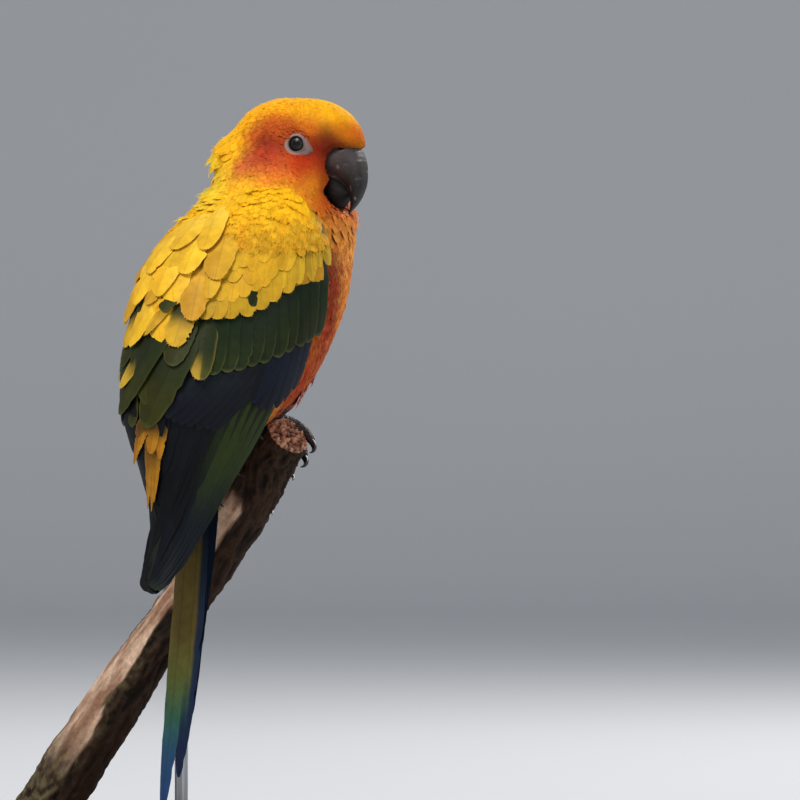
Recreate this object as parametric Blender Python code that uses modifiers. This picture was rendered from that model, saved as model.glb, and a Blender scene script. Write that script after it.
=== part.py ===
"""A still, life-size sun conure that grips the end of a cut branch, on a plain display stand.

The named values are millimetres, and each mesh becomes metres as it is made. +Z is up, and the
origin is the centre of the stand's underside. Seen from the front (looking along +Y) the bird
shows its right wing and back, and its head is turned to its right, so that the bill points
to +X. The bird has two frames of its own: BODY (forward, right, height) and HEAD.
"""

import math

import bmesh
import bpy
from mathutils import Matrix, Vector, noise

MM = 0.001
GAP = 0.35
UP = Vector((0, 0, 1))

# The body faces away from the front view, turned by this much to +X.
BODY_YAW = math.radians(45)
BODY_FORWARD = Vector((math.cos(BODY_YAW), math.sin(BODY_YAW), 0))
BODY_RIGHT = Vector((math.sin(BODY_YAW), -math.cos(BODY_YAW), 0))
BODY_AXIS = Vector((7.4, -10, 0))

# The head faces +X, turned a little towards the front view.
HEAD_YAW = math.radians(-25)
HEAD_FORWARD = Vector((math.cos(HEAD_YAW), math.sin(HEAD_YAW), 0))
HEAD_RIGHT = Vector((math.sin(HEAD_YAW), -math.cos(HEAD_YAW), 0))
HEAD_CENTRE = Vector((34.4, 17, 260))

# Level sections of the torso: height, centre, half length and half width in the BODY frame.
TORSO = (
    (254, 37, 5, 5),
    (250, 36, 16, 13),
    (246, 34.8, 25, 19),
    (242, 33.5, 29.5, 22),
    (236, 32, 34.5, 25),
    (228, 27.5, 37, 26),
    (205, 14.5, 44, 30.5),
    (187, 8, 40.5, 30),
    (178, 5, 37.5, 28),
    (168, -0.5, 32, 25),
    (155, -9, 21, 17),
    (142, -11.5, 13.5, 12),
    (130, -12.5, 8.5, 8.5),
    (121, -13, 5.5, 6.5),
    (116, -13, 2.5, 3.5),
)
# The same for the outer surface of the folded wings, down to their tips.
WINGS = (
    (254, 27, 6, 6),
    (249, 27, 16, 16),
    (240, 27, 27, 27),
    (224, 18.8, 37, 34),
    (205, 11, 41, 37.5),
    (187, 4.4, 40, 34.5),
    (168, -4.2, 36.5, 28.5),
    (150, -8.9, 27.5, 22),
    (131, -10.5, 18.5, 15),
    (113, -18.3, 11, 12.5),
    (98, -26, 9.5, 8.5),
    (90, -31, 7, 6),
)
NEAR_LIMIT = 0.95

# Flesh and coat of the head, in the HEAD frame: centre, then half sizes.
SKULL = (
    ((0, 0, 0.5), (23, 18, 20.5)),
    ((8, 0, 2.3), (23, 13.8, 18.8)),
    ((-7, 0, -4), (20.5, 17.5, 19)),
    ((3, 0, -12), (17, 15.5, 14)),
)
# The face is cut back for the bill: the seat's back and top, its foot, and how far it reaches.
BILL_SEAT = ((20.5, 1.2), (17.5, -15.5), 14)
# The neck runs from the torso to the head, in world coordinates: centre, then radius.
NECK = (((29, 11, 236), 25), ((31, 13, 246), 23))
# Feathered thighs in the BODY frame: hip, ankle, and the radius at each.
THIGH_RIGHT = ((15, 13, 192), (28.5, 9, 167.5), 14, 5.2)
THIGH_LEFT = ((13, -13, 190), (23.5, -8.5, 153), 14, 4.4)
BODY_VOXEL = 1.3
BODY_SMOOTHING = 5
BODY_DETAIL = 0.042
HEAD_CUT = (Vector((28, 12, 243)), Vector((0.32, -0.1, 1)))
NECK_CUT = (Vector((26, 8, 231)), Vector((0.25, 0.1, 1)))

# Bill stations in the HEAD frame: culmen point, cutting edge point, half width.
UPPER_BILL = (
    ((14, 2.0), (13, -8.0), 7.4),
    ((21, 2.4), (17.5, -8.2), 8.2),
    ((27, 2.0), (20.5, -9.2), 8.1),
    ((30.6, -1.8), (23.0, -10.6), 7.2),
    ((32.2, -6.8), (25.0, -12.4), 6.0),
    ((32.2, -11.8), (26.2, -14.6), 4.6),
    ((30.7, -16.2), (26.6, -17.0), 3.2),
    ((28.4, -19.6), (26.2, -19.6), 1.9),
    ((25.6, -22.2), (25.3, -22.0), 0.5),
)
LOWER_BILL = (
    ((13, -17.5), (13, -9.5), 6.4),
    ((18, -20.6), (17.5, -9.8), 7.4),
    ((21.5, -21.0), (21, -11.6), 6.6),
    ((24.0, -19.4), (23.6, -14.0), 4.6),
    ((25.2, -17.2), (24.8, -15.6), 2.2),
)
BILL_SIDES = 8
NOSTRIL = Vector((24.6, 4.2, 1.4))
NOSTRIL_RADIUS = 0.9
EYE = Vector((10.0, 12.0, 3.4))
EYE_RADIUS = 3.9
LID_RING = 3.5
LID_STEPS = 15
LID_THICK = 0.9

# The cut branch: centreline from the chewed end down to the sawn end, and its radius.
BRANCH = (
    (Vector((34.4, -1.5, 154.8)), 8.4),
    (Vector((29.6, 3.5, 148.2)), 9.0),
    (Vector((24.3, 8.2, 138.1)), 9.1),
    (Vector((15.2, 13.5, 124.0)), 9.6),
    (Vector((4.1, 19.0, 106.7)), 8.6),
    (Vector((-8.5, 24.0, 88.5)), 9.1),
    (Vector((-21.5, 30.0, 70.4)), 9.6),
    (Vector((-34.4, 34.0, 51.5)), 10.8),
    (Vector((-53.7, 40.0, 20.4)), 11.2),
    (Vector((-61.0, 42.0, 8.0)), 11.5),
)
BRANCH_RINGS = 20
BRANCH_SIDES = 12
BRANCH_RELIEF = 0.9
SAWN_HEIGHT = 16

BASE_SIZE = Vector((160, 126, 12))
BASE_BEVEL = 3
HIGH_ROD = (Vector((-6, 24.5, 0)), 2.5, 88)
LOW_ROD = (Vector((-56, 40.5, 0)), 3.0, 27)

TOE_RADIUS = 1.9
CLAW_RADIUS = 1.15
CLAW_WRAP = 42
BACK_CLAW_WRAP = 30
# Each foot: its pad's place down the branch, and its toes, each with the place of its end down
# the branch and the angle that it wraps to, forward or back.
RIGHT_FOOT = (0.035, ((0.0, 104), (0.085, 112), (0.04, -56), (0.125, -48)))
LEFT_FOOT = (0.235, ((0.185, 104), (0.29, 110), (0.21, -56), (0.31, -48)))

VANE_THICK = 0.65


def body(u, v, z):
    """A point of the BODY frame in world coordinates."""
    return BODY_AXIS + BODY_FORWARD * u + BODY_RIGHT * v + UP * z


def head(u, v, w):
    """A point of the HEAD frame in world coordinates."""
    return HEAD_CENTRE + HEAD_FORWARD * u + HEAD_RIGHT * v + UP * w


def smooth(t):
    return t * t * (3 - 2 * t)


def section(table, z):
    """The centre, half length and half width of a table of sections at height z."""
    rows = [r for r in table]
    if z >= rows[0][0]:
        return rows[0][1:]
    if z <= rows[-1][0]:
        return rows[-1][1:]
    i = next(k for k in range(len(rows) - 1) if rows[k + 1][0] <= z)
    a, b = rows[i], rows[i + 1]
    before = rows[max(i - 1, 0)]
    after = rows[min(i + 2, len(rows) - 1)]
    span = a[0] - b[0]
    t = (a[0] - z) / span
    found = []
    for k in (1, 2, 3):
        slope_a = (b[k] - before[k]) / max(before[0] - b[0], 1e-6) * span
        slope_b = (after[k] - a[k]) / max(a[0] - after[0], 1e-6) * span
        found.append(
            (2 * t**3 - 3 * t**2 + 1) * a[k]
            + (t**3 - 2 * t**2 + t) * slope_a
            + (3 * t**2 - 2 * t**3) * b[k]
            + (t**3 - t**2) * slope_b
        )
    return found


def wing_point(angle, z, inset=0.0, table=WINGS):
    """A point of the wings' outer surface, or of one inset from it, and its outward normal."""

    def place(turn, height):
        centre, long, wide = section(table, height)
        long, wide = max(long - inset, 0.5), max(wide - inset, 0.5)
        return body(centre + long * math.cos(turn), wide * math.sin(turn), height)

    point = place(angle, z)
    round_it = place(angle + 0.02, z) - place(angle - 0.02, z)
    up_it = place(angle, z + 0.5) - place(angle, z - 0.5)
    return point, up_it.cross(round_it).normalized()


def wing_angle(x, z):
    """The turn round the wings' section whose point shows at x from the front, on the near side."""
    centre, long, wide = section(WINGS, z)
    across = (x - BODY_AXIS.x) / math.cos(BODY_YAW) - centre
    reach = math.hypot(long, wide)
    share = max(-NEAR_LIMIT, min(NEAR_LIMIT, across / reach))
    return math.atan2(wide, long) + math.acos(share)


def mirrored(point):
    """The point's mirror image across the body's own middle plane."""
    return point - BODY_RIGHT * (2 * (point - BODY_AXIS).dot(BODY_RIGHT))


def material(name, color, roughness, metallic=0.0):
    made = bpy.data.materials.new(name)
    made.use_nodes = True
    shader = made.node_tree.nodes["Principled BSDF"]
    shader.inputs["Base Color"].default_value = (*color, 1)
    shader.inputs["Roughness"].default_value = roughness
    shader.inputs["Metallic"].default_value = metallic
    made.diffuse_color = (*color, 1)
    return made


def mesh_object(name, points, faces, collection):
    """A mesh object from points in millimetres."""
    mesh = bpy.data.meshes.new(name)
    mesh.from_pydata([p * MM for p in points], [], faces)
    mesh.validate()
    made = bpy.data.objects.new(name, mesh)
    collection.objects.link(made)
    return made


def finished(obj):
    """Replaces an object's mesh with its evaluated one, and drops its modifiers."""
    bpy.context.view_layer.update()
    graph = bpy.context.evaluated_depsgraph_get()
    baked = bpy.data.meshes.new_from_object(obj.evaluated_get(graph))
    baked.transform(obj.matrix_world)
    obj.modifiers.clear()
    obj.data = baked
    obj.matrix_world = Matrix.Identity(4)
    return obj


def keep_largest(obj):
    """Keeps only the closed surface of an object that holds the most, split into triangles."""
    mesh = bmesh.new()
    mesh.from_mesh(obj.data)
    left, pieces = set(mesh.faces), []
    while left:
        todo = [left.pop()]
        piece = set(todo)
        while todo:
            for edge in todo.pop().edges:
                for face in edge.link_faces if edge.is_manifold else ():
                    if face in left:
                        left.discard(face)
                        piece.add(face)
                        todo.append(face)
        pieces.append(piece)

    def volume(piece):
        total = 0.0
        for face in piece:
            first = face.verts[0].co
            for a, b in zip(face.verts[1:], face.verts[2:]):
                total += first.dot(a.co.cross(b.co))
        return total

    largest = max(pieces, key=volume)
    bmesh.ops.delete(mesh, geom=[f for f in mesh.faces if f not in largest], context="FACES")
    bmesh.ops.triangulate(mesh, faces=mesh.faces, ngon_method="BEAUTY")
    mesh.to_mesh(obj.data)
    mesh.free()
    return obj


def boolean(obj, others, operation):
    """Joins the other closed objects to obj or cuts them from it, then removes them. The exact
    solver loses pieces of these thin overlapping forms, and this one doesn't."""
    collection = bpy.data.collections.new("operands")
    bpy.context.scene.collection.children.link(collection)
    for other in others:
        for owner in list(other.users_collection):
            owner.objects.unlink(other)
        collection.objects.link(other)
    modifier = obj.modifiers.new("boolean", "BOOLEAN")
    modifier.operation = operation
    modifier.solver = "MANIFOLD"
    modifier.operand_type = "COLLECTION"
    modifier.collection = collection
    finished(obj)
    for other in others:
        bpy.data.objects.remove(other)
    bpy.data.collections.remove(collection)
    return keep_largest(obj)


def inflated(obj, by, name="inflated"):
    """A copy of an object whose surface stands out by a few tenths of a millimetre."""
    copy = bpy.data.objects.new(name, obj.data.copy())
    obj.users_collection[0].objects.link(copy)
    swell = copy.modifiers.new("swell", "DISPLACE")
    swell.strength = by * MM
    swell.mid_level = 0
    return finished(copy)


def loft(name, rings, collection):
    """A closed body through rings of equal length, each listed anticlockwise about its way on."""
    sides = len(rings[0])
    points = [p for ring in rings for p in ring]
    faces = []
    for i in range(len(rings) - 1):
        for j in range(sides):
            k = (j + 1) % sides
            a, b = i * sides, (i + 1) * sides
            faces.append((a + j, a + k, b + k, b + j))
    first, last = len(points), len(points) + 1
    points.append(sum(rings[0], Vector()) / sides)
    points.append(sum(rings[-1], Vector()) / sides)
    end = (len(rings) - 1) * sides
    for j in range(sides):
        k = (j + 1) % sides
        faces.append((first, k, j))
        faces.append((last, end + j, end + k))
    return mesh_object(name, points, faces, collection)


def tube(name, path, radii, sides, collection):
    """A closed tube of changing radius along a path of points."""
    rings = []
    side = None
    for i, point in enumerate(path):
        ahead = path[min(i + 1, len(path) - 1)] - path[max(i - 1, 0)]
        ahead.normalize()
        if side is None:
            side = ahead.orthogonal().normalized()
        side = (side - ahead * side.dot(ahead)).normalized()
        other = ahead.cross(side)
        turns = [2 * math.pi * j / sides for j in range(sides)]
        rings.append([point + (side * math.cos(a) + other * math.sin(a)) * radii[i] for a in turns])
    return loft(name, rings, collection)


def ellipsoid(name, centre, sizes, axes, collection, segments=28):
    """A closed ellipsoid with its own axes."""
    mesh = bmesh.new()
    bmesh.ops.create_uvsphere(mesh, u_segments=segments, v_segments=segments // 2, radius=1)
    for vert in mesh.verts:
        local = vert.co.copy()
        vert.co = (centre + sum((a * s * c for a, s, c in zip(axes, sizes, local)), Vector())) * MM
    data = bpy.data.meshes.new(name)
    mesh.to_mesh(data)
    mesh.free()
    made = bpy.data.objects.new(name, data)
    collection.objects.link(made)
    return outward(made)


def torso_loft(collection):
    """The torso through its level sections."""
    rings = []
    heights = [TORSO[-1][0] + (TORSO[0][0] - TORSO[-1][0]) * i / 30 for i in range(31)]
    for z in heights:
        centre, long, wide = section(TORSO, z)
        turns = [2 * math.pi * j / 32 for j in range(32)]
        rings.append([body(centre + long * math.cos(a), -wide * math.sin(a), z) for a in turns])
    return loft("torso_form", rings, collection)


def thigh(name, form, collection):
    """A feathered thigh, from deep in the body to the ankle."""
    knee, ankle, wide, narrow = form
    start, end = body(*knee), body(*ankle)
    path = [start.lerp(end, t / 5) for t in range(6)]
    radii = [wide + (narrow - wide) * smooth(t / 5) for t in range(6)]
    return tube(name, path, radii, 16, collection)


def whole_body(collection):
    """Torso, neck and head as one smooth closed form."""
    pieces = [torso_loft(collection)]
    for i, (centre, sizes) in enumerate(SKULL):
        axes = (HEAD_FORWARD, HEAD_RIGHT, UP)
        pieces.append(ellipsoid(f"skull_{i}", head(*centre), sizes, axes, collection))
    for i, (centre, radius) in enumerate(NECK):
        axes = (BODY_FORWARD, BODY_RIGHT, UP)
        sizes = (radius, radius * 0.92, radius * 0.9)
        pieces.append(ellipsoid(f"neck_{i}", Vector(centre), sizes, axes, collection))
    whole = boolean(pieces[0], pieces[1:], "UNION")
    remesh = whole.modifiers.new("remesh", "REMESH")
    remesh.mode = "VOXEL"
    remesh.voxel_size = BODY_VOXEL * MM
    relax = whole.modifiers.new("relax", "SMOOTH")
    relax.factor = 0.5
    relax.iterations = BODY_SMOOTHING
    thin_out = whole.modifiers.new("thin_out", "DECIMATE")
    thin_out.ratio = BODY_DETAIL
    return keep_largest(finished(whole))


def half(obj, name, point, normal, collection):
    """A copy of a closed object, cut by a plane and capped, on the side that the normal points to."""
    normal = normal.normalized()
    mesh = bmesh.new()
    mesh.from_mesh(obj.data)
    everything = mesh.verts[:] + mesh.edges[:] + mesh.faces[:]
    bmesh.ops.bisect_plane(
        mesh, geom=everything, dist=1e-7, plane_co=point * MM, plane_no=normal, clear_inner=True
    )
    rim = [e for e in mesh.edges if e.is_boundary]
    bmesh.ops.triangle_fill(mesh, use_beauty=True, use_dissolve=False, edges=rim, normal=-normal)
    data = bpy.data.meshes.new(name)
    mesh.to_mesh(data)
    mesh.free()
    made = bpy.data.objects.new(name, data)
    collection.objects.link(made)
    return keep_largest(outward(made))


def bill_rings(stations, up_sign):
    """Rings of a bill half: a round back or keel at one side, and the cutting edges at the other."""
    rings = []
    turns = [-math.pi + 2 * math.pi * (j + 0.5) / BILL_SIDES for j in range(BILL_SIDES)]
    for (out_u, out_w), (in_u, in_w), wide in stations:
        ring = []
        for a in turns:
            rise = (1 + math.cos(a)) / 2
            lean = rise**0.8
            spread = math.copysign(abs(math.sin(a)) ** 0.75, math.sin(a))
            u = in_u + (out_u - in_u) * lean
            w = in_w + (out_w - in_w) * lean
            ring.append(head(u, up_sign * wide * spread, w))
        rings.append(ring)
    return rings


def bills(head_obj, collection):
    """The two bill halves, and the head with a seat for each."""
    upper = loft("bill_upper", bill_rings(UPPER_BILL, 1), collection)
    lower = loft("bill_lower", bill_rings(LOWER_BILL, -1), collection)
    for obj in (upper, lower):
        round_off = obj.modifiers.new("round_off", "SUBSURF")
        round_off.levels = round_off.render_levels = 1
        finished(obj)
        outward(obj)
    holes = []
    for side in (1, -1):
        centre = head(NOSTRIL.x, side * NOSTRIL.y, NOSTRIL.z)
        sizes = (NOSTRIL_RADIUS,) * 3
        axes = (HEAD_FORWARD, HEAD_RIGHT, UP)
        holes.append(ellipsoid(f"nostril_{side}", centre, sizes, axes, collection, 10))
    (top_u, top_w), (low_u, low_w), ahead = BILL_SEAT
    corners = [(top_u, top_w), (top_u + ahead, top_w + 1), (low_u + ahead, low_w), (low_u, low_w)]
    rings = [[head(u, v, w) for u, w in corners] for v in (-20, 20)]
    seat = outward(loft("seat", rings, collection))
    boolean(head_obj, [seat], "DIFFERENCE")
    boolean(upper, holes, "DIFFERENCE")
    boolean(lower, [inflated(upper, GAP)], "DIFFERENCE")
    boolean(head_obj, [inflated(upper, GAP)], "DIFFERENCE")
    boolean(head_obj, [inflated(lower, GAP)], "DIFFERENCE")
    return upper, lower


def outward(obj):
    """Turns a closed mesh's faces outwards."""
    mesh = bmesh.new()
    mesh.from_mesh(obj.data)
    bmesh.ops.recalc_face_normals(mesh, faces=mesh.faces)
    if mesh.calc_volume(signed=True) < 0:
        bmesh.ops.reverse_faces(mesh, faces=mesh.faces)
    mesh.to_mesh(obj.data)
    mesh.free()
    return obj


def lid(side, collection):
    """The bare ring of lids round one eye."""
    centre = head(EYE.x, side * (EYE.y + 2.7), EYE.z)
    out = HEAD_RIGHT * side
    path = []
    for j in range(LID_STEPS):
        a = 2 * math.pi * (j + 0.2) / LID_STEPS
        corner = 1 + 0.22 * max(0.0, math.cos(a)) ** 3
        offset = HEAD_FORWARD * math.cos(a) * corner + UP * math.sin(a)
        path.append(centre + offset * LID_RING - out * 0.35 * math.cos(a))
    rings = []
    for j, point in enumerate(path):
        away = (point - centre).normalized()
        turns = [2 * math.pi * k / 5 for k in range(5)]
        rings.append([point + (away * math.cos(t) + out * math.sin(t)) * LID_THICK for t in turns])
    points = [p for ring in rings for p in ring]
    faces = []
    for j in range(LID_STEPS):
        for k in range(5):
            a, b = j * 5, (j + 1) % LID_STEPS * 5
            faces.append((a + k, a + (k + 1) % 5, b + (k + 1) % 5, b + k))
    return outward(mesh_object(f"lid_{side}", points, faces, collection))


def eyes(head_obj, collection):
    """The two eyes, and the head with raised lids and a socket for each eye."""
    boolean(head_obj, [lid(1, collection), lid(-1, collection)], "UNION")
    found = []
    for side, name in ((1, "eye_right"), (-1, "eye_left")):
        centre = head(EYE.x, side * EYE.y, EYE.z)
        axes = (HEAD_FORWARD, HEAD_RIGHT, UP)
        eye = ellipsoid(name, centre, (EYE_RADIUS,) * 3, axes, collection, 14)
        socket = ellipsoid("socket", centre, (EYE_RADIUS + GAP,) * 3, axes, collection, 14)
        boolean(head_obj, [socket], "DIFFERENCE")
        found.append(eye)
    return found


def vane(name, centre, sides, normals, widths, collection, grown=0.0):
    """One flat feather: a closed sheet, split alike on both faces, through its stations. A grown
    one is thicker and wider by that much on every side, to cut room for the feather."""
    points, faces = [], []
    thick = VANE_THICK + grown
    for middle, across, out, wide in zip(centre, sides, normals, widths):
        left, right = middle - across * (wide + grown), middle + across * (wide + grown)
        points += [left + out * grown, right + out * grown, right - out * thick, left - out * thick]
    for i in range(len(centre) - 1):
        a, b = i * 4, i * 4 + 4
        faces += [(a, a + 1, b), (a + 1, b + 1, b)]
        faces += [(a + 3, b + 3, a + 2), (a + 2, b + 3, b + 2)]
        for j, k in ((1, 2), (3, 0)):
            faces += [(a + j, a + k, b + k), (a + j, b + k, b + j)]
    last = len(centre) * 4 - 4
    faces += [(0, 3, 2), (0, 2, 1), (last, last + 2, last + 3), (last, last + 1, last + 2)]
    return outward(mesh_object(name, points, faces, collection))


def outline(t):
    """A feather's half width at share t of its length, as a share of its widest."""
    if t < 0.4:
        return 0.6 + t
    return 1 - 0.6 * max(0.0, (t - 0.75) / 0.25) ** 2


def on_wing(x, z):
    """The wings' surface and its normal where it shows at (x, z) from the front, on the near side."""
    return wing_point(wing_angle(x, z), z)


def on_back(turn, z):
    """The torso's surface and its normal, turned by some degrees from the middle of the back."""
    return wing_point(math.pi - math.radians(turn), z, 0.0, TORSO)


def laid(surface, root, tip, lift, side, steps, roll):
    """Stations of a feather on a surface: shares, centres, side directions and normals."""
    shares = [i / steps for i in range(steps)] + [1 - 0.4 / steps, 1]
    ends = []
    for t in (0, 0.5, 1):
        point, out = surface(*(a + (b - a) * t for a, b in zip(root, tip)))
        ends.append((point + out * (lift[0] + (lift[1] - lift[0]) * t), out))
    centre, normals = [], []
    for t in shares:
        weights = ((1 - t) * (1 - 2 * t), 4 * t * (1 - t), t * (2 * t - 1))
        centre.append(sum((e[0] * w for e, w in zip(ends, weights)), Vector()))
        normals.append(sum((e[1] * w for e, w in zip(ends, weights)), Vector()).normalized())
    sides, outs = [], []
    for i, out in enumerate(normals):
        ahead = (centre[min(i + 1, len(centre) - 1)] - centre[max(i - 1, 0)]).normalized()
        across = ahead.cross(out).normalized()
        turn = Matrix.Rotation(math.radians(roll), 3, ahead)
        sides.append(turn @ across)
        outs.append((turn @ across.cross(ahead)).normalized())
    if side < 0:
        centre = [mirrored(p) for p in centre]
        sides = [mirrored(BODY_AXIS + s) - BODY_AXIS for s in sides]
        outs = [mirrored(BODY_AXIS + n) - BODY_AXIS for n in outs]
    return shares, centre, sides, outs


def laid_vane(name, surface, root, tip, width, lift, side, steps, roll, collection, grown=0.0):
    """A feather laid on a surface from root to tip."""
    shares, centre, sides, outs = laid(surface, root, tip, lift, side, steps, roll)
    widths = [width / 2 * outline(t) for t in shares]
    centre[-1] += (centre[-1] - centre[-2]).normalized() * grown
    return vane(name, centre, sides, outs, widths, collection, grown)


def spaced(line, count):
    """Points evenly along a line of (x, height) points."""
    found = []
    for i in range(count):
        spot = i / max(count - 1, 1) * (len(line) - 1)
        k = min(int(spot), len(line) - 2)
        found.append(tuple(a + (b - a) * (spot - k) for a, b in zip(line[k], line[k + 1])))
    return found


# The wing's tiers, as seen from the front: a line through the roots, a line through the tips,
# how many, width, how high roots and tips lie over the wing's surface, stations, and how far
# each is rolled, so that its lower edge lies over the next.
TIERS = (
    ("primary", ((9, 168), (31, 173)), ((-14.5, 117), (-18, 103), (-11.5, 97.5)),
     6, 9.4, (-4.4, -0.9), 4, 12),
    ("secondary", ((-8, 177), (3, 170)), ((-10, 148), (-13.5, 125)),
     3, 10.5, (-4.2, -0.6), 3, 11),
    ("primary_covert", ((37, 192), (43, 193)), ((27, 170), (35, 168)),
     2, 7.5, (-4.0, -0.7), 2, 8),
    ("tertial", ((-10, 200), (-8, 194), (2, 190)), ((-26, 174), (-26, 163), (-15, 159)),
     3, 14, (-3.8, 0.4), 2, 6),
    ("greater_covert", ((7, 206), (46, 222)), ((5, 177), (27, 181.5), (46, 193)),
     7, 9.6, (-3.8, 0.4), 2, 9),
    ("median_covert", ((4, 217), (26, 219), (47, 234)), ((5.2, 198), (21, 198), (37, 209), (49, 218)),
     6, 9.8, (-3.6, 1.0), 2, 7),
    ("lesser_covert", ((18, 235), (43, 246)), ((13, 215), (30, 219), (45, 230)),
     4, 11.5, (-3.4, 1.3), 2, 6),
)
# Scapulars lie one by one over the wing's inner edge: root, tip, width.
SCAPULARS = (
    ((14, 233), (10, 210), 9.5),
    ((6, 227), (-1, 197), 12),
    ((-2, 214), (-9, 187.5), 11),
    ((-10, 215), (-21, 189), 12),
    ((-2, 232), (-17, 205), 14),
)
SCAPULAR_LIFT = (-2.6, 2.0)
# The wing's core from the front: height, x of its inner edge and of its leading edge.
WING_CORE = (
    (247, 22, 41),
    (240, 12, 47),
    (226, 2, 50.5),
    (208, -8, 50),
    (190, -13.5, 45.5),
    (172, -13, 35.5),
    (158, -10, 26),
    (144, -10, 14.5),
    (131, -11, 2),
)
CORE_INSET = 2.8
CORE_DEPTH = 7
CORE_THIN = 1.2
CORE_THIN_BELOW = 158


def wing_core(side, collection):
    """The closed plate that the wing's feathers grow from."""
    across = 7
    outer, inner = [], []
    for z, x_inner, x_lead in WING_CORE:
        depth = CORE_DEPTH if z >= CORE_THIN_BELOW else CORE_THIN
        if CORE_THIN_BELOW - 20 < z < CORE_THIN_BELOW:
            depth = CORE_THIN + (CORE_DEPTH - CORE_THIN) * (z - CORE_THIN_BELOW + 20) / 20
        first, last = wing_angle(x_inner, z), wing_angle(x_lead, z)
        turns = [first + (last - first) * j / (across - 1) for j in range(across)]
        outer.append([wing_point(a, z, CORE_INSET)[0] for a in turns])
        inner.append([wing_point(a, z, CORE_INSET + depth)[0] for a in turns])
    rings = [o + i[::-1] for o, i in zip(outer, inner)]
    if side < 0:
        rings = [[mirrored(p) for p in ring] for ring in rings]
    return outward(loft("core", rings, collection))


# Feathers that grow on the torso between the wings: root and tip as (degrees from the middle of
# the back, height), and width.
MANTLE = (
    ((-12, 231), (-9, 214), 12),
    ((12, 231), (10, 213), 12),
    ((0, 226), (0, 203), 12),
    ((0, 210), (0, 183), 10),
    ((0, 188), (0, 162), 9),
)
RUMP = (
    ((-15, 168), (-14, 141), 9),
    ((14, 168), (16, 140), 9),
    ((0, 160), (0, 130), 9),
)
BACK_LIFT = (-2.4, 1.2)


def back_feathers(collection, grown=0.0):
    """The feathers of the mantle and the rump, or grown ones to cut room for them."""
    feathers = []
    for i, (root, tip, width) in enumerate(MANTLE + RUMP):
        lift = (BACK_LIFT[0], BACK_LIFT[1] + 0.25 * (i % 3))
        form = (on_back, root, tip, width, lift, 1, 2, 0)
        feathers.append(laid_vane(f"back_{i}", *form, collection, grown))
    return feathers


def tail_room(collection):
    """A closed box round the upper tail, to cut room for it."""
    rings = []
    for i in range(5):
        t = i / 4 * TAIL_ROOM_END - 0.05
        over, under = TAIL_ROOM_DEPTH
        corners = ((-1, over), (1, over), (1, under), (-1, under))
        rings.append([tail_point(t, side * TAIL_ROOM_WIDE, depth) for side, depth in corners])
    return outward(loft("tail_room", rings, collection))


def wing(name, side, flesh, collection):
    """One folded wing: its core with tiers of feathers fused on, cut clear of the body."""
    core = wing_core(side, collection)
    feathers = []
    for tier, roots, tips, count, width, lift, steps, roll in TIERS:
        for i, (root, tip) in enumerate(zip(spaced(roots, count), spaced(tips, count))):
            form = (on_wing, root, tip, width, lift, side, steps, roll)
            feathers.append(laid_vane(f"{tier}_{i}", *form, collection))
    for i, (root, tip, width) in enumerate(SCAPULARS):
        lift = (SCAPULAR_LIFT[0], SCAPULAR_LIFT[1] + 0.4 * (i % 2))
        form = (on_wing, root, tip, width, lift, side, 2, 0)
        feathers.append(laid_vane(f"scapular_{i}", *form, collection))
    boolean(core, feathers, "UNION")
    room = back_feathers(collection, GAP) + [inflated(flesh, GAP), tail_room(collection)]
    boolean(core, room, "DIFFERENCE")
    cut = half(core, name, BODY_AXIS + BODY_RIGHT * side * GAP / 2, BODY_RIGHT * side, collection)
    bpy.data.objects.remove(core)
    return cut


TAIL_ROOT = (-8.5, 150)
TAIL_TIP = (-24, 16.2)
TAIL_BOW = 1.6
# Tail feathers in pairs: length of the left and of the right one as shares of the longest,
# shift to the side at root and tip, depth under the tail's upper surface, and width.
TAIL_PAIRS = (
    ((1.0, 0.9), (2.6, 3.2), 0, 11),
    ((0.79, 0.776), (3.0, 4.6), 0.9, 9),
    ((0.65, 0.63), (3.5, 4.8), 1.6, 8.5),
    ((0.55, 0.53), (4.0, 5.0), 2.2, 8),
    ((0.47, 0.467), (4.4, 5.2), 2.8, 7.5),
    ((0.4, 0.39), (4.8, 5.4), 3.4, 7),
)
# Half width, depths and length, as a share of the tail, of the room that the wings leave for it.
TAIL_ROOM_WIDE = 9.6
TAIL_ROOM_DEPTH = (-1.8, 6)
TAIL_ROOM_END = 0.5
TAIL_COVERTS = ((0, 0.34), (3.4, 0.28), (-3.4, 0.28), (6, 0.2), (-6, 0.2))


def tail_point(t, side_shift, depth):
    """A point down the tail: t from root to the longest tip, a shift to the right, and a depth
    under the tail's upper surface."""
    u = TAIL_ROOT[0] + (TAIL_TIP[0] - TAIL_ROOT[0]) * t
    z = TAIL_ROOT[1] + (TAIL_TIP[1] - TAIL_ROOT[1]) * t
    bow = TAIL_BOW * math.sin(math.pi * t)
    return body(u + bow + depth, side_shift, z)


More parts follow.
